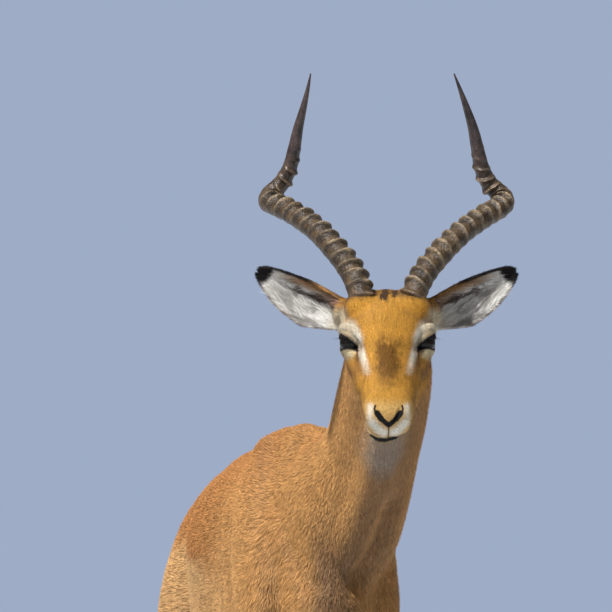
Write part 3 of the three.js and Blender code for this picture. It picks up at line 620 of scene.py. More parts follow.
# %% Finer triangles where they are needed
def refined(points, tris, wanted):
    """Triangles cut in four where two of their points are wanted, and their neighbours cut to match."""
    pairs = np.sort(np.concatenate((tris[:, [0, 1]], tris[:, [1, 2]], tris[:, [2, 0]])), axis=1)
    keys, index = np.unique(pairs, axis=0, return_inverse=True)
    split = wanted[keys].all(1)
    middle_of = np.full(len(keys), -1)
    middle_of[split] = len(points) + np.arange(split.sum())
    m = middle_of[index.reshape(3, -1).T]
    made = [tris[(m < 0).all(1)]]
    for turn in range(3):  # each case is met once with its first side split and its last side whole
        (a, b, c), (p, q, r) = np.roll(tris, -turn, 1).T, np.roll(m, -turn, 1).T
        one, two = (p >= 0) & (q < 0) & (r < 0), (p >= 0) & (q >= 0) & (r < 0)
        for rows, corners in ((one, (a, p, c)), (one, (p, b, c)), (two, (p, b, q)), (two, (a, p, q)), (two, (a, q, c))):
            made.append(np.stack(corners, 1)[rows])
    (a, b, c), (p, q, r), every = tris.T, m.T, (m >= 0).all(1)
    for corners in ((a, p, r), (p, b, q), (r, q, c), (p, q, r)):
        made.append(np.stack(corners, 1)[every])
    return np.concatenate((points, points[keys[split]].mean(1))), np.concatenate(made)


def fine_places(p, reach):
    """Round the eyes and at the front of the muzzle."""
    h = mirrored(into_head(p))
    muzzle = (h[:, 1] > 142 - reach) & (np.abs(h[:, 2] + 15) < 60)
    return (length_of(h - EYE) < EYE_RADIUS + reach) | muzzle


# %% Skin mesh
grid = (  # across, along and up: where it starts, then where each stretch ends and how wide its cells are
    grid_lines(-132, (205, 3.8)),
    grid_lines(-612, (-330, 2.95), (-120, 5.8), (80, 5), (600, 9), (700, 6), (800, 5)),
    grid_lines(33, (130, 4.5), (560, 8.5), (900, 7.5), (1160, 2.95)),
)
skin_points, quads = surface_net(field_on(lambda q: skin(q, EAR_GRID_WALL), grid), grid)
skin_points = drawn_on(skin, skin_points, 1.4)
skin_faces = np.concatenate((quads[:, [0, 1, 2]], quads[:, [0, 2, 3]]))
for reach in (10, 7):
    coarse = len(skin_points)
    skin_points, skin_faces = refined(skin_points, skin_faces, fine_places(skin_points, reach))
    skin_points[coarse:] = drawn_on(skin, skin_points[coarse:], 1)
print("skin", len(skin_points), "points", len(skin_faces), "triangles")

# %% [markdown]
# ## Colours and shared shader parts
# Every colour here is written as it looks in daylight, 0 to 255, and turned into the linear light that
# shaders use. The coat's markings are painted by rules on the animal's own shape, such as "white below the
# flank line", so they fit on every side. Skin and hair read one painted attribute and one noise group, so
# they can't drift apart.


# %% Colour helpers
def srgb(*rgb):
    c = np.array(rgb, float) / 255
    return np.where(c <= 0.04045, c / 12.92, ((c + 0.055) / 1.055) ** 2.4)


def paint(tone, *coats):
    """Coats of colour laid over the tone one after another, each where its mask says."""
    for colour, mask in coats:
        tone = tone + (np.asarray(colour) - tone) * np.clip(mask, 0, 1)[:, None]
    return tone


def even(colour, p):
    return np.tile(colour, (len(p), 1))


def feed(tree, node, inputs):
    """Gives a node its inputs: another node's output is linked, anything else is a constant."""
    for name, value in inputs.items():
        if isinstance(value, bpy.types.NodeSocket):
            tree.links.new(value, node.inputs[name])
        else:
            node.inputs[name].default_value = value


def add_node(tree, kind, inputs, **settings):
    node = tree.nodes.new("ShaderNode" + kind)
    for name, value in settings.items():
        setattr(node, name, value)
    feed(tree, node, inputs)
    return node.outputs


def value_group(name, noises):
    """A node group of three-dimensional noises: (socket, scale, detail, low, high) for each output."""
    group = bpy.data.node_groups.new(name, "ShaderNodeTree")
    out = group.nodes.new("NodeGroupOutput")
    place = add_node(group, "TexCoord", {})["Object"]
    for socket, scale, detail, low, high in noises:
        group.interface.new_socket(socket, in_out="OUTPUT", socket_type="NodeSocketFloat")
        noise = add_node(group, "TexNoise", {"Scale": scale, "Detail": detail, "Vector": place})["Fac"]
        span = {"From Min": 0.3, "From Max": 0.7, "To Min": low, "To Max": high, "Value": noise}
        feed(group, out, {socket: add_node(group, "MapRange", span)["Result"]})
    return group


def new_material(name, roughness, specular):
    material = bpy.data.materials.new(name)
    material.use_nodes = True
    tree = material.node_tree
    body = tree.nodes["Principled BSDF"]
    feed(tree, body, {"Roughness": roughness, "Specular IOR Level": specular})
    return material, tree, body


def from_attribute(tree, name, socket="Color"):
    return add_node(tree, "Attribute", {}, attribute_name=name)[socket]


# %% Materials
coat_noise = value_group("coat variation", (
    ("Patches", 14, 3, 0.94, 1.06), ("Ticking", 500, 2, 0.84, 1.15), ("Height", 900, 2, 0.0, 1.0)))
horn_noise = value_group("horn variation", (
    ("Stains", 70, 5, 0.3, 1.6), ("Grain", 420, 4, 0.5, 1.5), ("Height", 380, 6, 0.0, 1.0)))


def coloured_material(name, roughness, specular, group, bump, worn=False):
    """A material whose colour is the painted attribute times the group's first two outputs."""
    material, tree, body = new_material(name, roughness, specular)
    noise = add_node(tree, "Group", {}, node_tree=group)
    colour, height = from_attribute(tree, "tone"), noise["Height"]
    for value in noise[0], noise[1]:
        colour = add_node(tree, "VectorMath", {0: colour, "Scale": value}, operation="SCALE")["Vector"]
    feed(tree, body, {"Base Color": colour})
    if worn:  # smoother where the attribute says it has been polished
        rough = from_attribute(tree, "rough", "Fac")
        height = add_node(tree, "Math", {0: height, 1: rough}, operation="MULTIPLY")["Value"]
    if bump:
        raised = add_node(tree, "Bump", {"Distance": bump, "Strength": 1.0, "Height": height})
        feed(tree, body, {"Normal": raised["Normal"]})
    return material


skin_material = coloured_material("Skin and flat hair", 0.78, 0.25, coat_noise, 0.0004)
hair_material = coloured_material("Hair", 0.62, 0.2, coat_noise, 0)
horn_material = coloured_material("Horn", 0.36, 0.5, horn_noise, 0.0007, worn=True)
hoof_material = coloured_material("Hoof", 0.5, 0.5, horn_noise, 0.0003)
eye_material, eye_tree, eye_body = new_material("Wet eye", 0.06, 0.28)
feed(eye_tree, eye_body, {"Base Color": from_attribute(eye_tree, "tone")})

# %% [markdown]
# ## Horns
# A ram's horn is keratin on a bony core, laid down in rings. It leans back and out, bends over in an elbow,
# then rises to a smooth tip. It could be built with an array of rings along a curve, but the rings here lean,
# crowd together near the head and fade out behind, so each horn is one lofted tube whose radius carries them.


# %% Horn shape
HORN_LINE = np.array((
    (-7, -28, -6), (0, 0, 0), (12, 25, 20), (34, 51, 48), (60, 76, 84), (92, 98, 128), (110, 108, 156),
    (117, 116, 172), (113, 125, 181), (99, 139, 184), (88, 158, 182), (82, 181, 176), (76, 209, 167),
    (68, 238, 155), (62, 261, 144), (58, 279, 135)), float)
HORN_RADIUS, HORN_RIDGE = 16.5, 4.4
HORN_ELBOW, HORN_RIDGED = 0.6, 0.8  # shares of the length: where it bends, and where the rings end
HORN_RINGS, HORN_SIDES, CURVE_STEPS = 560, 56, 30
HORN_ARCH, HORN_BOW = 0.58, 0.42  # shares of the points: the right one arches below, the left bows out above
RING_TONE = 4.2  # the ridge that gives a ring its full colour


def spread_along(points, count):
    """A centripetal curve through the points, resampled evenly by length."""
    rows = np.vstack((2 * points[0] - points[1], points, 2 * points[-1] - points[-2]))
    made = []
    for a, b, c, d in zip(rows[:-3], rows[1:-2], rows[2:-1], rows[3:]):
        s, m, e = (np.sqrt(np.linalg.norm(v)) for v in (b - a, c - b, d - c))
        leave = ((b - a) / s - (c - a) / (s + m) + (c - b) / m) * m
        arrive = ((c - b) / m - (d - b) / (m + e) + (d - c) / e) * m
        made.append(bent(b, c, leave, arrive, shares(CURVE_STEPS)))
    line = np.concatenate((*made, points[-1:]))
    run = np.concatenate([[0], np.cumsum(length_of(np.diff(line, axis=0)))])
    at = np.linspace(0, run[-1], count)
    return np.stack([np.interp(at, run, line[:, n]) for n in range(3)], 1), run[-1]


def unit(v):
    return v / np.maximum(length_of(v)[..., None], 1e-9)


def bearings(sides):
    return np.linspace(0, 2 * math.pi, sides, endpoint=False)[None]


def add_loft(name, rings, tone, material, flipped=False):
    """A closed piece from rings of points, which takes the place of the rigid node of its name."""
    count, sides = rings.shape[:2]
    r, s = np.meshgrid(np.arange(count - 1), np.arange(sides), indexing="ij")
    a, b = r * sides + s, r * sides + (s + 1) % sides
    first, last = np.arange(sides)[None], (count - 1) * sides + np.arange(sides)[None]
    faces = [np.stack((a, b, b + sides, a + sides), -1).reshape(-1, 4), first[:, ::-1], last]
    if flipped:
        faces = [face[:, ::-1] for face in faces]
    piece = add_piece(name, rings.reshape(-1, 3), faces, material, [name])
    give_colour(piece.data, "tone", tone)
    return piece


def horn_line(side):
    share = np.arange(len(HORN_LINE)) / (len(HORN_LINE) - 1)
    lean = 5 * np.maximum(0, 2 * share - 1)
    arch = (7 if side < 0 else 0) * np.sin(math.pi * np.minimum(share / HORN_ARCH, 1)) ** 2
    out, up, back = HORN_LINE.T
    bow = (5 if side > 0 else 0) * np.sin(math.pi * np.maximum(0, (share - HORN_ARCH) / HORN_BOW))
    line = np.stack((side * (out - 0.6 * arch + bow) - lean, back, up + 0.8 * arch), 1)
    return line @ turn_z(-HEAD_TURN).T + from_head(HORN_ROOT * (side, 1, 1))


def wave_of(angle):
    """A wave from 0 to 1, highest where the angle is 0."""
    return 0.5 + 0.5 * np.cos(angle)


def make_horn(name, side):
    centre, length = spread_along(horn_line(side), HORN_RINGS)
    t = np.linspace(0, 1, HORN_RINGS)[:, None]
    along = unit(np.gradient(centre, axis=0))
    across = unit(np.cross((0, -1, 0), along))
    front = np.cross(along, across)
    turn = bearings(HORN_SIDES)
    tip = np.maximum(0, (t - HORN_ELBOW) / (1 - HORN_ELBOW))
    plain = (HORN_RADIUS - 3 * np.minimum(t / HORN_ELBOW, 1)) * (0.06 + 0.94 * (1 - tip) ** 0.95)
    # the rings: crowded at the base, wide apart after the elbow, leaning down towards the back
    facing = wave_of(turn + 0.9)
    spacing = 14 + 6 * smooth(0.02, 0.25, t) - 5 * smooth(0.48, 0.6, t)
    count = np.cumsum(length / HORN_RINGS / spacing, axis=0) + 0.2 * side * np.sin(turn) + 0.16 * np.cos(turn)
    uneven = np.stack((9 * np.cos(turn) + 0 * t, 9 * np.sin(turn) + 0 * t, length * t / 7 + 0 * turn), -1)
    rough = lumps(uneven.reshape(-1, 3) / (6, 6, 1), 3 + side).reshape(uneven.shape[:2])
    wave = wave_of(2 * math.pi * (count + 0.13 * rough))
    size = (HORN_RIDGE * (0.1 + 0.9 * facing**1.6) * smooth(HORN_RIDGED, 0.66, t) * smooth(0.0, 0.05, t)
            * (1 + 0.35 * rough))
    ridge = size * (wave**3.5 - 0.42)
    flutes = (0.3 * np.sin(9 * turn + 6 * t) * np.sin(17 * turn) + 0.5 * rough) * smooth(0.9, 0.6, t)
    radius = np.maximum(plain + ridge + flutes, 0.6)
    rings = (centre[:, None] + front[:, None] * (1.12 * radius * np.cos(turn))[..., None]
             - side * across[:, None] * (radius * np.sin(turn))[..., None])
    crest_highlight = (wave**4 * size / RING_TONE).ravel()
    # the wave moved to the lower side of each crest, where the grooves get painted shade
    below = wave_of(2 * math.pi * (count + 0.13 * rough + 0.2)).ravel()
    share = np.broadcast_to(t, radius.shape).ravel()
    ringed = (size / RING_TONE).ravel()
    tone = paint(
        even(srgb(80, 62, 42), share),
        (srgb(34, 26, 21), 0.85 * below**4 * ringed**0.5),  # painted shade in the groove just below each ring's crest
        # painted highlight along each ring's crest
        (srgb(154, 134, 108), 0.75 * crest_highlight),
        (srgb(96, 76, 44), 0.5 * smooth(0.1, 0.8, rough.ravel())),
        (srgb(70, 56, 53), smooth(0.6, 0.8, share)),
        (srgb(104, 72, 44), 0.8 * smooth(0.09, 0.0, share)))
    piece = add_loft(name, rings, tone, horn_material)
    layer = piece.data.attributes.new("rough", "FLOAT", "POINT")
    layer.data.foreach_set("value", (1 - 0.93 * smooth(0.56, 0.74, share)).astype(np.float32))
    print(name, "length", round(length), "mm with", round(float(count.max())), "rings")


make_horn("horn_left", 1)
make_horn("horn_right", -1)

# %% [markdown]
# ## Eyes
# An antelope's eye is a wide dark ball set at the side of the head, with a brown iris and a long level
# pupil. It could be one black ball, but a clear bulge over the iris is what catches the light, so the ball
# swells a little there and the iris and pupil are painted on it by their angle from the eye's own axis.


# %% Eye shape
EYE_GAP, EYE_BULGE = 0.15, 0.7  # between ball and lids, and over the iris
EYE_ROWS, EYE_SIDES = 64, 96


def make_eye(name, side):
    down = np.linspace(0.5, EYE_ROWS - 0.5, EYE_ROWS)[:, None] * math.pi / EYE_ROWS
    turn = bearings(EYE_SIDES)
    # the poles lie along the way the eye looks: outward, forward and a little down
    look = unit(np.array((0.86, 0.5, -0.04)))
    level = unit(np.cross(look, (0, 0.34, 0.94)))
    above = np.cross(level, look)
    ray = (np.cos(down)[..., None] * look + (np.sin(down) * np.cos(turn))[..., None] * level
           + (np.sin(down) * np.sin(turn))[..., None] * above).reshape(-1, 3)
    angle = np.degrees(np.arccos(np.clip(ray @ look, -1, 1)))
    radius = EYE_RADIUS - EYE_GAP + EYE_BULGE * smooth(48, 10, angle)
    verts = from_head((EYE + ray * radius[:, None]) * (side, 1, 1))
    pupil = smooth(1.05, 0.9, np.hypot((ray @ level) / 0.52, (ray @ above) / 0.26))
    tone = paint(even(srgb(9, 7, 8), ray), (srgb(25, 16, 11), smooth(49, 40, angle)), (srgb(4, 4, 6), pupil))
    add_loft(name, verts.reshape(EYE_ROWS, EYE_SIDES, 3), tone, eye_material, side < 0)


make_eye("eye_left", 1)
make_eye("eye_right", -1)

# %% [markdown]
# ## Hooves
# An antelope walks on two toes. Each is a hard shell with a flat sole, a steep wall and fine growth rings
# level with the ground. Each toe is a loft of level outlines, flat on the inner side and drawn to a point.


# %% Hoof shape
CLAW_TOP = CORONET - 0.6
CLAW_Z = (0, 1.2, 3, 24, 37, 43, CLAW_TOP)
CLAW_WIDE, CLAW_LONG = (0.96, 1.0, 1.03, 0.93, 0.88, 0.78, 0.5), (0.97, 1.0, 1.02, 0.86, 0.74, 0.62, 0.42)
CLAW_LENGTH, CLAW_WIDTH, CLAW_SPREAD, CLAW_LEAN = 66, 20.5, 11.4, 16
CLAW_ROWS, CLAW_SIDES = 44, 72
CLAW_STRIDE = 0.97  # the share of a leg's stride that its claws have moved by
FORE_FOOT_Y, HIND_FOOT_Y = -46, 642


def make_claw(name, x, y, inner):
    z = np.concatenate([(0, 0.5), np.linspace(1.2, CLAW_TOP, CLAW_ROWS)])[:, None]
    turn = bearings(CLAW_SIDES)
    wide, long = np.interp(z, CLAW_Z, CLAW_WIDE), np.interp(z, CLAW_Z, CLAW_LONG)
    growth = 0.28 * np.sin(z * 2.1 + 0.3 * np.sin(turn)) * smooth(1, 5, z)
    ahead = np.cos(turn)
    side = np.sin(turn) * (1 - 0.34 * np.maximum(0, ahead) ** 1.5)
    toe_in = -inner * 3.4 * np.maximum(0, ahead) * (1 - z / CORONET)
    px = (x + inner * CLAW_SPREAD * (0.9 + 0.1 * wide) + side * (wide * CLAW_WIDTH / 2 + growth) + toe_in)
    py = y + CLAW_LEAN * z / CORONET - ahead * (long * CLAW_LENGTH / 2 + growth)
    worn = np.broadcast_to(smooth(12, 0, z), px.shape).ravel()
    tone = paint(even(srgb(38, 33, 31), worn), (srgb(78, 68, 58), 0.6 * worn))
    add_loft(name, np.stack((px, py, np.broadcast_to(z, px.shape)), -1), tone, hoof_material)


for foot, stride in STRIDE.items():
    left = 1 if "left" in foot else -1
    foot_x, foot_y = (FORE_FOOT_X, FORE_FOOT_Y) if "fore" in foot else (HIND_FOOT_X, HIND_FOOT_Y)
    foot_y += CLAW_STRIDE * stride
    for inner, place in ((left, "outer"), (-left, "inner")):
        make_claw(f"hoof_{foot}_{place}", left * foot_x + swayed(foot_y), foot_y, inner)

# %% [markdown]
# ## Markings
# An impala is two-toned: a red-brown saddle over lighter flanks, white below, a white rump with a black
# stripe on each buttock, and black tips to the ears. The face is golden, with a dark patch on the nose, white
# brows that run down in a stripe beside the nose, and a black V of bare skin between the nostrils. Marks on
# the face are strokes drawn as they appear from in front; those on the body follow heights and edges.


# %% Parts of the body
NAPE, NAPE_WAY = np.array((0, -325, 1040)), np.array((0, -0.97, 0.24))
NECK_ROOT, NECK_ROOT_WAY = np.array((0, -88, 770)), np.array((0, -0.857, 0.515))


def headward(p):
    return (p - NAPE) @ NAPE_WAY


def neckward(p):
    return (p - NECK_ROOT) @ NECK_ROOT_WAY


def ear_place(p, side):
    """Ear axes, share of the length, share of the breadth, and which face: above 0 inside the cup."""
    e = into_ear(p, side)
    _, s, _, bowl = ear_shares(e)
    return e, e[:, 0] / EAR_LENGTH, s, e[:, 2] + bowl


def own_ear(p):
    """Whether each point is at the left ear, and its shares and face on the ear that it is at."""
    left = p[:, 0] > HEAD_AT[0]
    return left, *(np.where(left, a, b) for a, b in zip(ear_place(p, 1)[1:], ear_place(p, -1)[1:]))


def stroke(q, line, half, soft=2.0):
    """A painted line: 1 within half its width and fading out over twice soft."""
    return smooth(half + soft, half - soft, line_distance(q, line))


# %% Body colours
SADDLE, FLANK, WHITE, BLACK = srgb(172, 117, 66), srgb(200, 156, 104), srgb(230, 222, 206), srgb(24, 19, 18)
NECK_SIDE, SHADED_NECK_FRONT, LEG_OUTER = srgb(198, 148, 90), srgb(134, 102, 72), srgb(200, 152, 94)


def ripple(p, scale, seed=0):
    """Soft noise to break the edges of markings; the scale can differ along the three axes."""
    return lumps(p / np.asarray(scale, float) + 50, seed)


def gland_mark(p):
    """Below 1 inside the long oval of black hair behind each hind fetlock."""
    x = np.abs(p[:, 0] - swayed(p[:, 1])) - HIND_FOOT_X
    return np.hypot(x / 12, (p[:, 2] - 138) / 27) + 0.12 * ripple(p, 6, 6)


def body_tone(p, n):
    x, y, z = unswayed(p).T
    out = np.abs(x)
    soft = 9 * ripple(p, (7, 22, 7)) + 10 * ripple(p, 45, 2)
    saddle_edge = 728 + 0.03 * y + 20 * smooth(160, -40, y) - 60 * smooth(560, 680, y)
    saddle_fade = 16 + 60 * smooth(220, 40, y)
    on_neck = smooth(-60, 60, neckward(p))
    brisket_shade = smooth(34, 10, out) * smooth(0.1, -0.5, n[:, 1]) * smooth(-40, -90, y) * smooth(800, 740, z)
    throat = length_of((p - (34, -325, 900)) / (36, 60, 50))
    belly = np.interp(y, (-60, 60, 160, 430, 540, 600), (574, 586, 602, 642, 664, 670))
    inner = smooth(0.05, -0.5, np.sign(x) * n[:, 0])
    under = smooth(10, -8, z - belly + soft) * smooth(-80, -40, y) * smooth(0.35, -0.1, n[:, 2])
    low, front = smooth(640, 560, z), smooth(0.3, 0.9, -n[:, 1])
    behind = smooth(0.25, 0.6, n[:, 1]) * smooth(600, 650, y)
    stripe = 47 + 0.05 * (z - 700) + 0.4 * soft
    return paint(
        even(FLANK, p),
        (SADDLE, smooth(-1, 1, (z - saddle_edge + soft) / saddle_fade)),
        (NECK_SIDE, smooth(260, -10, y) * smooth(930, 780, z) * 0.8),
        (SADDLE * 0.86, smooth(34, 8, out) * smooth(800, 840, z) * 0.7),
        (NECK_SIDE, on_neck),
        (SADDLE, 0.5 * on_neck * smooth(0.1, 0.8, n @ np.array((0, 0.6, 0.8)))),
        # the front of the neck, facing forward and down under the head: a greyer tan of its own, darkened further as
        # painted shade
        (SHADED_NECK_FRONT, smooth(0.35, 0.95, n @ np.array((0.0, -0.85, -0.5))) * on_neck * 0.8),
        # painted shade on the chest between the forelegs
        (SHADED_NECK_FRONT, 0.8 * brisket_shade * smooth(560, 620, z)),
        # the pale throat patch under the chin, greyed by painted shade
        (srgb(152, 143, 132), 0.6 * smooth(1.2, 0.5, throat + 0.012 * soft)),
        (WHITE, under * np.maximum(inner, smooth(500, 450, y))),
        (LEG_OUTER, low * (1 - inner) * smooth(30, 46, out)),
        (WHITE * 0.92, low * inner),
        (LEG_OUTER * 0.72, 0.5 * front * smooth(400, 330, z) * smooth(120, 200, z)),
        (WHITE * 0.8, smooth(140, 70, z) * 0.45),
        # the rump: white round the tail, with a black stripe down each buttock and one over the tail's root
        (WHITE, behind * smooth(5, -5, out - stripe) * smooth(520, 580, z)),
        (BLACK, behind * smooth(7.5, 4, np.abs(out - stripe)) * smooth(540, 570, z) * smooth(800, 770, z)),
        (BLACK, smooth(7, 3, out) * smooth(640, 690, y) * smooth(0.0, 0.4, n[:, 2])),
        # a black tuft over the gland behind each hind fetlock, and dark skin where the hooves begin
        (BLACK, smooth(1, 0.8, gland_mark(p)) * smooth(0.1, 0.6, n[:, 1]) * smooth(500, 560, y)),
        (srgb(70, 58, 48), smooth(54, 47, z) * 0.7))


# %% Head colours
GOLD, GOLD_DARK, SHADED_CHEEK = srgb(206, 150, 58), srgb(112, 74, 22), srgb(152, 108, 56)
FACE_WHITE, BARE, TEAR_LINE_AND_CREASE_SHADE = srgb(230, 223, 207), srgb(17, 14, 16), srgb(74, 54, 38)
# the mouth's corners and dips, to the animal's left and up from the eyes, as seen from in front
MOUTH = ((-31, -107), (-24, -115), (-15, -120.5), (-5, -122), (3, -120), (11, -119), (21, -116))


def nose_leather(h, q, soft):
    """Bare black skin: the nostrils' V, their slits and the groove of the upper lip."""
    lines = ((((14.5, -88), (9, -95.5)), 3.7), (((9, -95.5), (0, -103)), 3.1),
             (((16.5, -79), (17.6, -83), (16.4, -89)), 1.3), (((0, -104), (0, -117)), 0.8))
    return np.max([stroke(q, line, half, soft) for line, half in lines], axis=0) * smooth(140, 150, h[:, 1])


def forelock(h, up):
    """Below 1 inside the ragged dark patch between the horns."""
    large, small = np.hypot((h[:, 0] + 3) / 6.5, (up - 58) / 8), np.hypot((h[:, 0] - 9) / 4, (up - 59) / 5)
    return np.minimum(large, small) + 0.8 * ripple(h, (2, 7, 3), 9)


def head_tone(p, n):
    h = into_head(p)
    r, open_by, under = round_eye(h)
    f = seen(h)
    q = f[:, [0, 2]]
    out, ahead, (side, up) = np.abs(h[:, 0]), h[:, 1], q.T
    lift = 1.3 * ripple(h, (1.5, 7, 1.5)) + 1.4 * ripple(p, 8, 1)
    facing = n @ (from_head((0, math.cos(TILT), math.sin(TILT))) - HEAD_AT)
    front = smooth(-0.1, 0.5, facing)
    patch = smooth(25 + 0.12 * up, 8, side + 2.5 * lift) * smooth(12, -10, up + 4 * lift + 0.15 * side)
    brow = stroke(q, ((60, 18), (53, 24), (44, 16), (38, 4)), 5.5, 6.5)
    stripe = stroke(q, ((40, 12), (35.5, -3), (31.5, -18), (26, -38)), 4.2, 2.8)
    jaw = smooth(-38, -56, h[:, 2] + lift) * smooth(-150, -90, ahead)
    pale = np.maximum(stroke(q, ((22.5, -80), (23, -94)), 2.5, 4.5),
                      stroke(q, ((20, -100), (13, -108), (6, -112)), 5, 4))
    whiskers = [(BARE * 3, 0.75 * stroke(q, ((across, low), (across + 0.1, low - 0.4)), 0.35, 0.4))
                for row, low in enumerate((-101, -105, -109))
                for across in np.arange(9, 21 - 1.5 * row, 3.6) + 1.5 * row]
    mouth = stroke(np.stack((h[:, 0], up), 1), MOUTH, 1.4 + 1.2 * smooth(20, 6, np.abs(h[:, 0] + 4)), 0.9)
    rim = np.where(open_by == under, 2.8 + 1.4 * smooth(50, 60, side), 1.2)
    tuft = np.maximum(0.9 * smooth(1.25, 0.5, forelock(h, up)),
                      0.8 * (smooth(60, 66, up + 0.6 * lift) * smooth(34, 20, side)))
    return paint(
        # the sides of the face keep a darker brown, partly their own colour and partly painted shade; gold where the
        # face turns to the viewer
        even(SHADED_CHEEK, p),
        (GOLD, smooth(0.15, 0.8, facing) * smooth(-28, -12, h[:, 2])),
        (GOLD * 0.84, smooth(26, 6, out) * smooth(-4, 30, up) * front),
        (GOLD * 0.8, smooth(-38, -56, up) * front),
        # the dark ticked patch on the nose, the white brow, and the stripe that runs down from it beside the nose
        (GOLD_DARK, 0.95 * patch * smooth(-66, -34, up + 5 * lift) * front),
        (FACE_WHITE * 0.92, brow * smooth(-22, 2, f[:, 1])),
        (FACE_WHITE, stripe * front * (0.35 + 0.65 * smooth(-42, -14, up))),
        # the front of the ear's root is grey and white
        (srgb(190, 174, 146), smooth(46, 56, side + lift) * smooth(4, 14, up) * smooth(46, 32, up)),
        (FACE_WHITE * 0.85, stroke(q, ((60, 16), (66, 12)), 4, 5) * front),
        # greyish round the lids, pale on the mound below the eye, with a dark tear line beside it and painted shade in
        # the crease below it
        (srgb(186, 172, 146), smooth(30, 20, r) * 0.75),
        (srgb(203, 188, 152), stroke(q, ((52, -12), (42, -20)), 4, 5) * smooth(36, 26, r)),
        (TEAR_LINE_AND_CREASE_SHADE, stroke(q, ((38, -10), (37, -24)), 0.9, 1.1) * front),
        (TEAR_LINE_AND_CREASE_SHADE, stroke(q, ((52, -30), (47, -38), (45, -50)), 0.7, 2) * 0.6),
        # the jaw is pale near the midline; the muzzle is pale round nostrils and lips, with whisker roots
        (srgb(206, 193, 172), jaw * smooth(36, 26, out)),
        (srgb(216, 184, 124), 0.5 * smooth(126, 152, ahead) * front * smooth(-66, -84, up)),
        (srgb(226, 219, 203), pale * smooth(120, 146, ahead)),
        # the chin painted a darker tan, as painted shade under the mouth
        (srgb(156, 128, 90), smooth(-120, -124, up) * smooth(90, 120, ahead)),
        *whiskers,
        (BARE, nose_leather(h, q, 0.5)),
        (BARE, smooth(1.8, 0.6, melt_tubes(mouth_line, mirrored(h)))),
        (BARE, mouth * smooth(116, 128, ahead)),
        # black lid rims, and painted shade along the fold over the upper lid
        (BARE, smooth(-1.3, 0, open_by + rim) * smooth(24, 20, r)),
        (srgb(96, 80, 64), 0.5 * smooth(1.2, 0.5, np.abs(under + FOLD_ABOVE)) * smooth(26, 22, r)),
        # dark hair between the horns and round their roots
        (srgb(66, 46, 30), tuft),
        (srgb(70, 50, 34), 0.55 * smooth(27, 19, length_of(mirrored(h) - HORN_ROOT))))


def ear_tone(p, side):
    e, t, s, face = ear_place(p, side)
    streak = ripple(e, (30, 5, 9), 5)
    lines = smooth(0.42, 0.12, np.abs(streak)) * smooth(0.05, 0.2, t) * smooth(0.86, 0.6, t)
    shaded_hollow = np.hypot((t - 0.36) / 0.34, (s - 0.26) / 0.4) + 0.35 * streak
    inside = paint(
        even(srgb(232, 229, 223), p),
        (srgb(70, 57, 50), (0.6 + 0.4 * smooth(1.5, 0.6, shaded_hollow)) * lines),
        # painted shade deep in the ear's cup
        (srgb(92, 72, 60), 0.8 * smooth(0.9, 0.3, shaded_hollow)),
        (srgb(176, 132, 80), smooth(0.5, 0.85, s + 0.15 * streak) * smooth(0.85, 0.5, t)),
        (srgb(150, 112, 74), 0.8 * smooth(0.3, 0.1, t + 0.06 * streak) * smooth(-0.5, 0.1, s)),
        # painted shade where the ear's canal opens at its root
        (srgb(60, 48, 42), 0.7 * smooth(0.16, 0.06, t + 0.04 * streak) * smooth(-0.7, -0.3, s)))
    tip = smooth(0.84, 0.89, t + 0.05 * s + 0.02 * streak)
    return paint(
        even(srgb(186, 140, 86), p),
        (srgb(160, 112, 66), smooth(0.1, 0.8, t)),
        (inside, smooth(-0.6, 0.8, face)),
        (srgb(110, 74, 48), smooth(0.93, 0.99, np.abs(s)) * smooth(0.2, 0.5, t) * 0.5),
        (BLACK, np.maximum(tip, smooth(0.88, 0.97, s) * smooth(0.3, 0.5, t))))


def coat_tone(p, n):
    tone = body_tone(p, n)
    share = smooth(-14, 14, headward(p) + 4 * ripple(p, 8))
    near = share > 0
    tone[near] += (head_tone(p[near], n[near]) - tone[near]) * share[near, None]
    for side in (1, -1):
        e = into_ear(p, side)
        close = near_ear(e, 48, 24) & (e[:, 0] > -4)
        share = smooth(4, 20, e[close, 0])
        tone[close] += (ear_tone(p[close], side) - tone[close]) * share[:, None]
    return tone


# %% Skin piece
FLESH_NODES = ("trunk", "neck", "head", "tail", "ear_left", "ear_right",
               "foreleg_left", "foreleg_right", "hindleg_left", "hindleg_right")
skin_normals = way_out(skin, skin_points)
skin_piece = add_piece("skin", skin_points, [skin_faces], skin_material, FLESH_NODES)
skin_tone = in_chunks(lambda q: coat_tone(q[:, :3], q[:, 3:]), np.hstack((skin_points, skin_normals)))
give_colour(skin_piece.data, "tone", skin_tone)

# %% [markdown]
# ## The coat
# An impala's coat is short, glossy and flat, and each hair overlaps the next like thatch. Particle hair would
# not leave Blender as solid mesh, so each lock is a thin pointed blade of five points, rooted in the skin and
# laid along the coat. They are smallest on the face and feet. Blades at the same place share the skin's own
# colour there, which is what makes them read as hair and not as scales.


# %% The lie of the coat
def mixed(a, b, share):
    return a + (np.asarray(b) - a) * share[:, None]


def along_skin(way, n):
    return unit(way - n * (way * n).sum(1)[:, None])


def turned(way, n, jitter):
    """Each way turned a little over the skin, at random."""
    angle = rng.normal(0, jitter, len(way))[:, None]
    return way * np.cos(angle) + np.cross(n, way) * np.sin(angle)


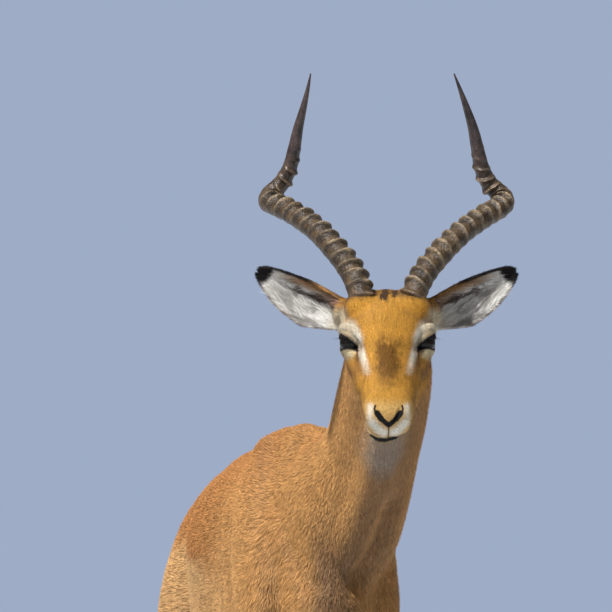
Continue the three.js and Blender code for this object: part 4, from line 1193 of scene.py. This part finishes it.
def lie_of_coat(p, n):
    """The way hair points at each place, along the skin."""
    _, y, z = unswayed(p).T
    way = even((0.0, 1.0, -0.3), p)
    down = np.maximum(smooth(-40, -100, y) * smooth(0.2, -0.4, n[:, 1]), smooth(600, 690, y))
    way = mixed(way, (0, 0.1, -1), np.maximum(down, smooth(660, 560, z)))
    neck_share = smooth(-50, 50, neckward(p))
    way = mixed(way, (-0.08, 0.72, -0.7), neck_share * (1 - 0.5 * down))
    h = into_head(p)
    face = mixed(even(-head_axes[:, 1], p), -head_axes[:, 2] * 0.5 - head_axes[:, 1], smooth(0, -40, h[:, 2]))
    outward = head_axes[:, 0] * np.sign(h[:, :1]) * (0.35 * smooth(10, 40, np.abs(h[:, 0])))[:, None]
    way = mixed(way, face + outward, smooth(-14, 14, headward(p)))
    across = np.cross(n, way)
    swirl = 0.16 * ripple(p, 26, 4)[:, None] * across + 0.12 * ripple(p, 7, 8)[:, None] * across
    for side in (1, -1):
        e = into_ear(p, side)
        on = smooth(-4, 10, e[:, 0]) * near_ear(e, 50, 24)
        axes = ear_axes(side)
        way = mixed(way, axes[0] + 0.25 * axes[1] * np.sign(e[:, 1:2]), on)
    return along_skin(way + swirl, n)


# %% Roots spread over the skin
corner_points = skin_points[skin_faces]
middles = corner_points.mean(1)
first_side, last_side = (corner_points[:, k] - corner_points[:, 0] for k in (1, 2))
areas = 0.5 * length_of(np.cross(first_side, last_side))


def ear_at(p):
    found = np.zeros(len(p), int)
    for side in (1, -1):
        e = into_ear(p, side)
        found[near_ear(e, 50, 22) & (e[:, 0] > 6)] = side
    return found


def part_of(p):
    """The name of the coat piece that each point belongs to; the later lines win."""
    x, y, z = unswayed(p).T
    part = np.where(y < 190, "front", "back").astype("<U14")
    part = np.char.add(part, np.where(x > 0, "_left", "_right"))
    part[neckward(p) > 0] = "neck"
    part[(z < 566) & (y < 300)] = "forelegs"
    part[(z < 600) & (y > 430) & (np.abs(x) > 16)] = "hindlegs"
    part[(y > 722) & (np.abs(x) < 16) & (z > 530)] = "tail"
    part[headward(p) > 0] = "head"
    part[ear_at(p) != 0] = "ears"
    return part


part_name = part_of(middles)


def roots_in(part, count):
    """Places, ways out and lies for that many blades, spread evenly over a part of the skin."""
    own = np.nonzero(part_name == part)[0]
    total = np.cumsum(areas[own])
    at = (np.arange(count) + rng.random(count)) / count * total[-1]
    chosen = skin_faces[own[np.minimum(np.searchsorted(total, at), len(own) - 1)]]
    a, b = rng.random((2, count))
    over = a + b > 1
    a[over], b[over] = 1 - a[over], 1 - b[over]
    weight = np.stack((1 - a - b, a, b), 1)[..., None]
    p = (skin_points[chosen] * weight).sum(1)
    return p, unit((skin_normals[chosen] * weight).sum(1)), total[-1]


# %% Where hair grows, and its place on the unwrap
LEG_HEIGHT = (40, 100, 330, 400, 600)
LEG_CENTRE = {"forelegs": (-30, -4, -8, 4, 20), "hindlegs": (660, 690, 702, 690, 560)}  # forward place at each height


def bare(p):
    """Where no hair grows: lids, nostrils, nose, lips and the skin inside the hooves."""
    h = into_head(p)
    r, open_by, under = round_eye(h)
    q = seen(h)[:, [0, 2]]
    mouth = stroke(np.stack((h[:, 0], q[:, 1]), 1), MOUTH, 0.9, 0.1) * (h[:, 1] > 122)
    nose = np.maximum(nose_leather(h, q, 0.1), mouth) > 0.5
    lids = (r < EYE_RADIUS + 3.6) & (open_by > np.where(open_by == under, -2.4, -1.2))
    lips = melt_tubes(mouth_line + philtrum + nostrils, mirrored(h)) < 0.6
    return nose | lids | lips | (p[:, 2] < 43)


def turns(across, ahead):
    return np.arctan2(across, ahead) / math.tau + 0.5


def unwrapped(part, p):
    """Where each root lies on its part's own unwrap: turns round the part's length, and the place along it."""
    x, y, z = unswayed(p).T
    if part.startswith(("front_", "back_")):
        around, along = np.arctan2(z - 720, np.abs(x)) / math.pi + 0.5, y
    elif part == "neck":
        c = p - (36, -200, 890)
        around, along = turns(c[:, 0], c @ np.array((0, 0.7, 0.71))), neckward(p)
    elif part in LEG_CENTRE:
        centre = np.interp(z, LEG_HEIGHT, LEG_CENTRE[part])
        around, along = (turns(np.abs(x) - 72, y - centre) + (x > 0)) / 2, z
    elif part == "ears":
        left, along, s, face = own_ear(p)
        around = (0.5 + 0.46 * s + (face > 0) + 2 * left) / 4
    elif part == "tail":
        around, along = turns(x, y - 760), z
    else:
        h = into_head(p)
        around, along = turns(h[:, 0], h[:, 2] + 12), h[:, 1]
    place = np.stack((around, along), 1)
    low, high = place.min(0), place.max(0)
    return 0.01 + 0.97 * (place - low) / (high - low)


BAKE_PATCH = 0.003  # the side of each blade's patch on the unwrap
ROOT_DEPTH = 0.35
MID_RISE, MID_HALF = 0.72, 0.42  # shares of a blade's rise and width at half its length


# %% Blades
def add_blades(name, part, p, n, way, length, width, rise, tone, tip_tone):
    """One piece of many blades; every argument from p on has a row for each blade."""
    count = len(p)
    side = np.cross(way, n)
    length, width, rise = (np.broadcast_to(v, count)[:, None] for v in (length, width, rise))
    foot = p - ROOT_DEPTH * n
    mid = p + 0.5 * length * way + MID_RISE * rise * n
    tip = p + length * way + rise * n
    verts = np.stack((foot - 0.5 * width * side, foot + 0.5 * width * side,
                      mid - MID_HALF * width * side, mid + MID_HALF * width * side, tip), 1).reshape(-1, 3)
    first = 5 * np.arange(count)[:, None]
    faces = [first + (0, 1, 3, 2), first + (2, 3, 4)]
    piece = add_piece(name, verts, faces, hair_material)
    rows = np.stack((tone, tone, (tone + tip_tone) / 2, (tone + tip_tone) / 2, tip_tone), 1)
    give_colour(piece.data, "tone", rows.reshape(-1, 3))
    place = unwrapped(part, p)[:, None] + BAKE_PATCH * np.array(((0, 0), (1, 0), (0.1, 0.6), (0.9, 0.6), (0.5, 1)))
    layer = piece.data.uv_layers.new(name="OFBake")
    corners = np.concatenate([face.ravel() for face in faces])
    layer.data.foreach_set("uv", place.reshape(-1, 2)[corners].astype(np.float32).ravel())


EAR_COAT = 1.5  # depth in millimetres
SHADES, LONG_SHADES = 0.16, 0.12  # how much hairs differ in brightness, as the spread of its logarithm
# blade length, width (millimetres), jitter (radians) and how many; the rise comes from the coat's depth
COAT = {
    "head": (5.5, 0.6, 0.2, 66000), "ears": (5.5, 0.65, 0.2, 27000), "neck": (9.5, 0.85, 0.17, 66000),
    "front_left": (9.5, 0.9, 0.15, 52000), "front_right": (9.5, 0.9, 0.15, 52000),
    "back_left": (12, 1.1, 0.15, 60000), "back_right": (12, 1.1, 0.15, 60000),
    "forelegs": (8, 0.9, 0.14, 32000), "hindlegs": (9, 1.0, 0.14, 48000),
}


def grow(name, part, length, width, jitter, count, slot):
    p, n, area = roots_in(part, count)
    keep = ~bare(p)
    p, n = p[keep], n[keep]
    way = turned(lie_of_coat(p, n), n, jitter)
    depth = np.full(len(p), EAR_COAT) if part == "ears" else coat_depth(p)
    small = np.clip(depth / depth.max(), 0.25, 1) ** 0.6
    length = length * small * rng.uniform(0.75, 1.2, len(p))
    width = width * small * rng.uniform(0.8, 1.2, len(p))
    rise = depth * rng.uniform(0.35, 0.95, len(p))
    tone = coat_tone(p, n)
    # hairs differ in shade, and where the coat is ticked many tips are dark
    streaks = ripple(into_head(p), (1.5, 13, 4), 7) if part == "head" else 0.7 * ripple(p, (1.8, 6, 4), 7)
    light = np.exp(rng.normal(0, SHADES, len(p)) + 0.06 * ripple(p, 14, 3) + 0.34 * streaks)[:, None]
    ticked = rng.random(len(p)) < 0.1 + 0.5 * smooth(0.45, 0.15, tone[:, 0]) * (part == "head")
    tips = tone * light * np.where(ticked, 0.45, rng.uniform(0.9, 1.3, len(p)))[:, None]
    # roots and middles painted darker than most tips, as painted shade deep in the coat
    add_blades(name, part, p, n, way, length, width, rise, tone * light * 0.93, tips)
    print(name, len(p), "blades over", round(area / 1e4), "square decimetres")


for part, settings in COAT.items():
    grow(f"coat_{part}", part, *settings, "leg_coat" if "legs" in part else "coat")

# %% [markdown]
# ## Longer hair
# Some hair is long enough to change the outline: the brush of the tail, the black tufts over the hind
# fetlocks, the white hair that fills the ear, the dark tuft between the horns, and the lashes. These use the
# same blades, longer and raised further, rooted only where a mark on the skin allows.


# %% Tail, fetlocks, ears and forehead
def grow_long(name, part, count, allowed, length, width, rise, way_of, tone_of):
    p, n, _ = roots_in(part, count)
    keep = allowed(p, n)
    p, n = p[keep], n[keep]
    way = turned(along_skin(way_of(p, n), n), n, 0.16)
    size = rng.uniform(0.7, 1.15, len(p))
    tone = tone_of(p, n) * np.exp(rng.normal(0, LONG_SHADES, len(p)))[:, None]
    add_blades(name, part, p, n, way, length * size, width, rise * size, tone, tone * 1.05)
    print(name, len(p), "blades")


def down_the_tail(p, n):
    line = np.array(TAIL_LINE, float)
    step = np.gradient(line, axis=0)
    y, z = (np.interp(-p[:, 2], -line[:, 1], step[:, k]) for k in (0, 1))
    return unit(np.stack((0 * y, y, z - 6), 1)) + 0.2 * n


def tail_tone(p, n):
    ridge = smooth(7, 3, np.abs(unswayed(p)[:, 0])) * smooth(0.1, 0.5, n[:, 1] + n[:, 2])
    return paint(even(WHITE, p), (SADDLE, 0.5 * smooth(700, 770, p[:, 2])), (BLACK, ridge))


def gland(p, n):
    return (n[:, 1] > 0.25) & (p[:, 1] > 560) & (gland_mark(p) < 0.95)


def in_ear(p, n):
    _, t, s, face = own_ear(p)
    return (face > 0) & (t > 0.06) & (t < 0.8) & ((s < -0.25) | (s > 0.4)) & (np.abs(s) < 0.93)


def into_the_cup(p, n):
    left, _, s, _ = own_ear(p)
    along, across = (np.where(left[:, None], ear_axes(1)[k], ear_axes(-1)[k]) for k in (0, 1))
    return 0.95 * along - 0.28 * across * np.sign(s)[:, None]


def between_horns(p, n):
    h = into_head(p)
    return (forelock(h, seen(h)[:, 2]) < 0.8) & (h[:, 1] > -75)


def everywhere(value):
    return lambda p, n: even(value, p)


def below_dock(p, n):
    return p[:, 2] < 778


def ear_hair_tone(p, n):
    return np.maximum(coat_tone(p, n), WHITE * 0.2)


# the numbers are how many blades on the whole part, and their length, width and rise in millimetres
grow_long("tail_brush", "tail", 9000, below_dock, 44, 1.0, 5.5, down_the_tail, tail_tone)
grow_long("fetlock_tufts", "hindlegs", 26000, gland, 12, 0.8, 3,
          everywhere((0, 0.25, -1.0)), everywhere(BLACK))
grow_long("ear_hair", "ears", 6500, in_ear, 17, 0.55, 5, into_the_cup, ear_hair_tone)
grow_long("forehead_tuft", "head", 42000, between_horns, 8, 0.6, 2.0,
          everywhere(-head_axes[:, 1] + 0.5 * head_axes[:, 2]), everywhere(srgb(66, 46, 32)))


# %% Lashes
def from_seen(f):
    c, s = math.cos(TILT), math.sin(TILT)
    return np.stack((f[:, 0], c * f[:, 1] - s * f[:, 2], s * f[:, 1] + c * f[:, 2]), 1)


degrees = np.linspace(26, 118, 46)
bearing, height = np.radians(degrees), np.radians(np.interp(degrees, LID_BEARING, LID_UPPER) + 3)
out = np.stack((np.cos(height) * np.sin(bearing), np.cos(height) * np.cos(bearing), np.sin(height)), 1)
root = seen(EYE[None]) + out * (EYE_RADIUS + 1.9)
sweep = unit(0.75 * out + (0.45, 0.1, -0.38) + rng.normal(0, 0.07, out.shape))
root, sweep = (np.concatenate([from_seen(f) * (side, 1, 1) for side in (1, -1)]) for f in (root, sweep))
root, sweep = from_head(root), sweep @ head_axes.T
upward = unit(np.cross(np.cross(sweep, (0, 0, 1)), sweep))
dark = even(srgb(26, 20, 18), root)
add_blades("lashes", "head", root, upward, sweep, rng.uniform(8, 14, len(root)), 0.4, -2, dark, dark)
print("lashes", len(root))

# %% [markdown]
# ## Studio and camera
# The animal stands on a plain pale floor under a pale sky, with the sun high on the viewer's left. Softer
# light would flatten the rings and the coat. The camera is level with its eyes and far away, as with a long
# lens, so that ears, horns and muzzle keep their true proportions.

# %% Floor, light and camera
scene = bpy.context.scene

bpy.ops.mesh.primitive_circle_add(vertices=96, radius=6, fill_type="NGON", location=(0, 0, -0.001))
floor = bpy.context.object
floor.name = "floor"
floor_material, floor_tree, floor_body = new_material("Pale floor", 0.9, 0.1)
feed(floor_tree, floor_body, {"Base Color": (*srgb(196, 200, 206), 1)})
floor.data.materials.append(floor_material)

world = bpy.data.worlds.new("Soft daylight")
scene.world = world
world.use_nodes = True
tree = world.node_tree
sky = tree.nodes["Background"]
feed(tree, sky, {"Color": (0.96, 0.98, 1.0, 1), "Strength": 0.28})
seen_sky = add_node(tree, "Background", {"Color": (*srgb(158, 172, 198), 1)})["Background"]
by_camera = add_node(tree, "LightPath", {})["Is Camera Ray"]
either = add_node(tree, "MixShader", {"Fac": by_camera, 1: sky.outputs["Background"], 2: seen_sky})["Shader"]
feed(tree, tree.nodes["World Output"], {"Surface": either})


def add_sun(name, energy, soft, towards):
    light = add_object(name, bpy.data.lights.new(name, "SUN"))
    light.data.energy, light.data.angle = energy, math.radians(soft)
    light.rotation_euler = (-Vector(towards)).to_track_quat("-Z", "Y").to_euler()


add_sun("key light", 4.2, 3, (-0.62, -0.4, 1.2))
add_sun("fill light", 0.2, 50, (-0.9, -0.4, 0.3))

CAMERA_AZIMUTH, CAMERA_LIFT, CAMERA_FAR = math.radians(-11), math.radians(1), 10.0
VIEW_WIDTH = 0.765  # metres across the picture at the head
SENSOR, SIGHT_END = 36, 200
EYES_FROM_CENTRE = (0.1019, 0.045)  # the eyes are this far right of and below the middle of the picture
sin_a, cos_a = math.sin(CAMERA_AZIMUTH), math.cos(CAMERA_AZIMUTH)
away = Vector((sin_a * math.cos(CAMERA_LIFT), -cos_a * math.cos(CAMERA_LIFT), math.sin(CAMERA_LIFT)))
right = Vector((cos_a, sin_a, 0))
eyes = sum((corner for node in ("eye_left", "eye_right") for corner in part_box(node)), Vector()) / 4
target = eyes - right * EYES_FROM_CENTRE[0] + away.cross(right) * EYES_FROM_CENTRE[1]
camera = add_object("camera", bpy.data.cameras.new("camera"))
camera.location = target + away * CAMERA_FAR
camera.rotation_euler = (-away).to_track_quat("-Z", "Y").to_euler()
camera.data.sensor_width = SENSOR
camera.data.lens = SENSOR * CAMERA_FAR / VIEW_WIDTH
camera.data.clip_end = SIGHT_END
scene.camera = camera
scene.view_settings.view_transform = "Standard"
print("camera height", round(camera.location.z, 2))
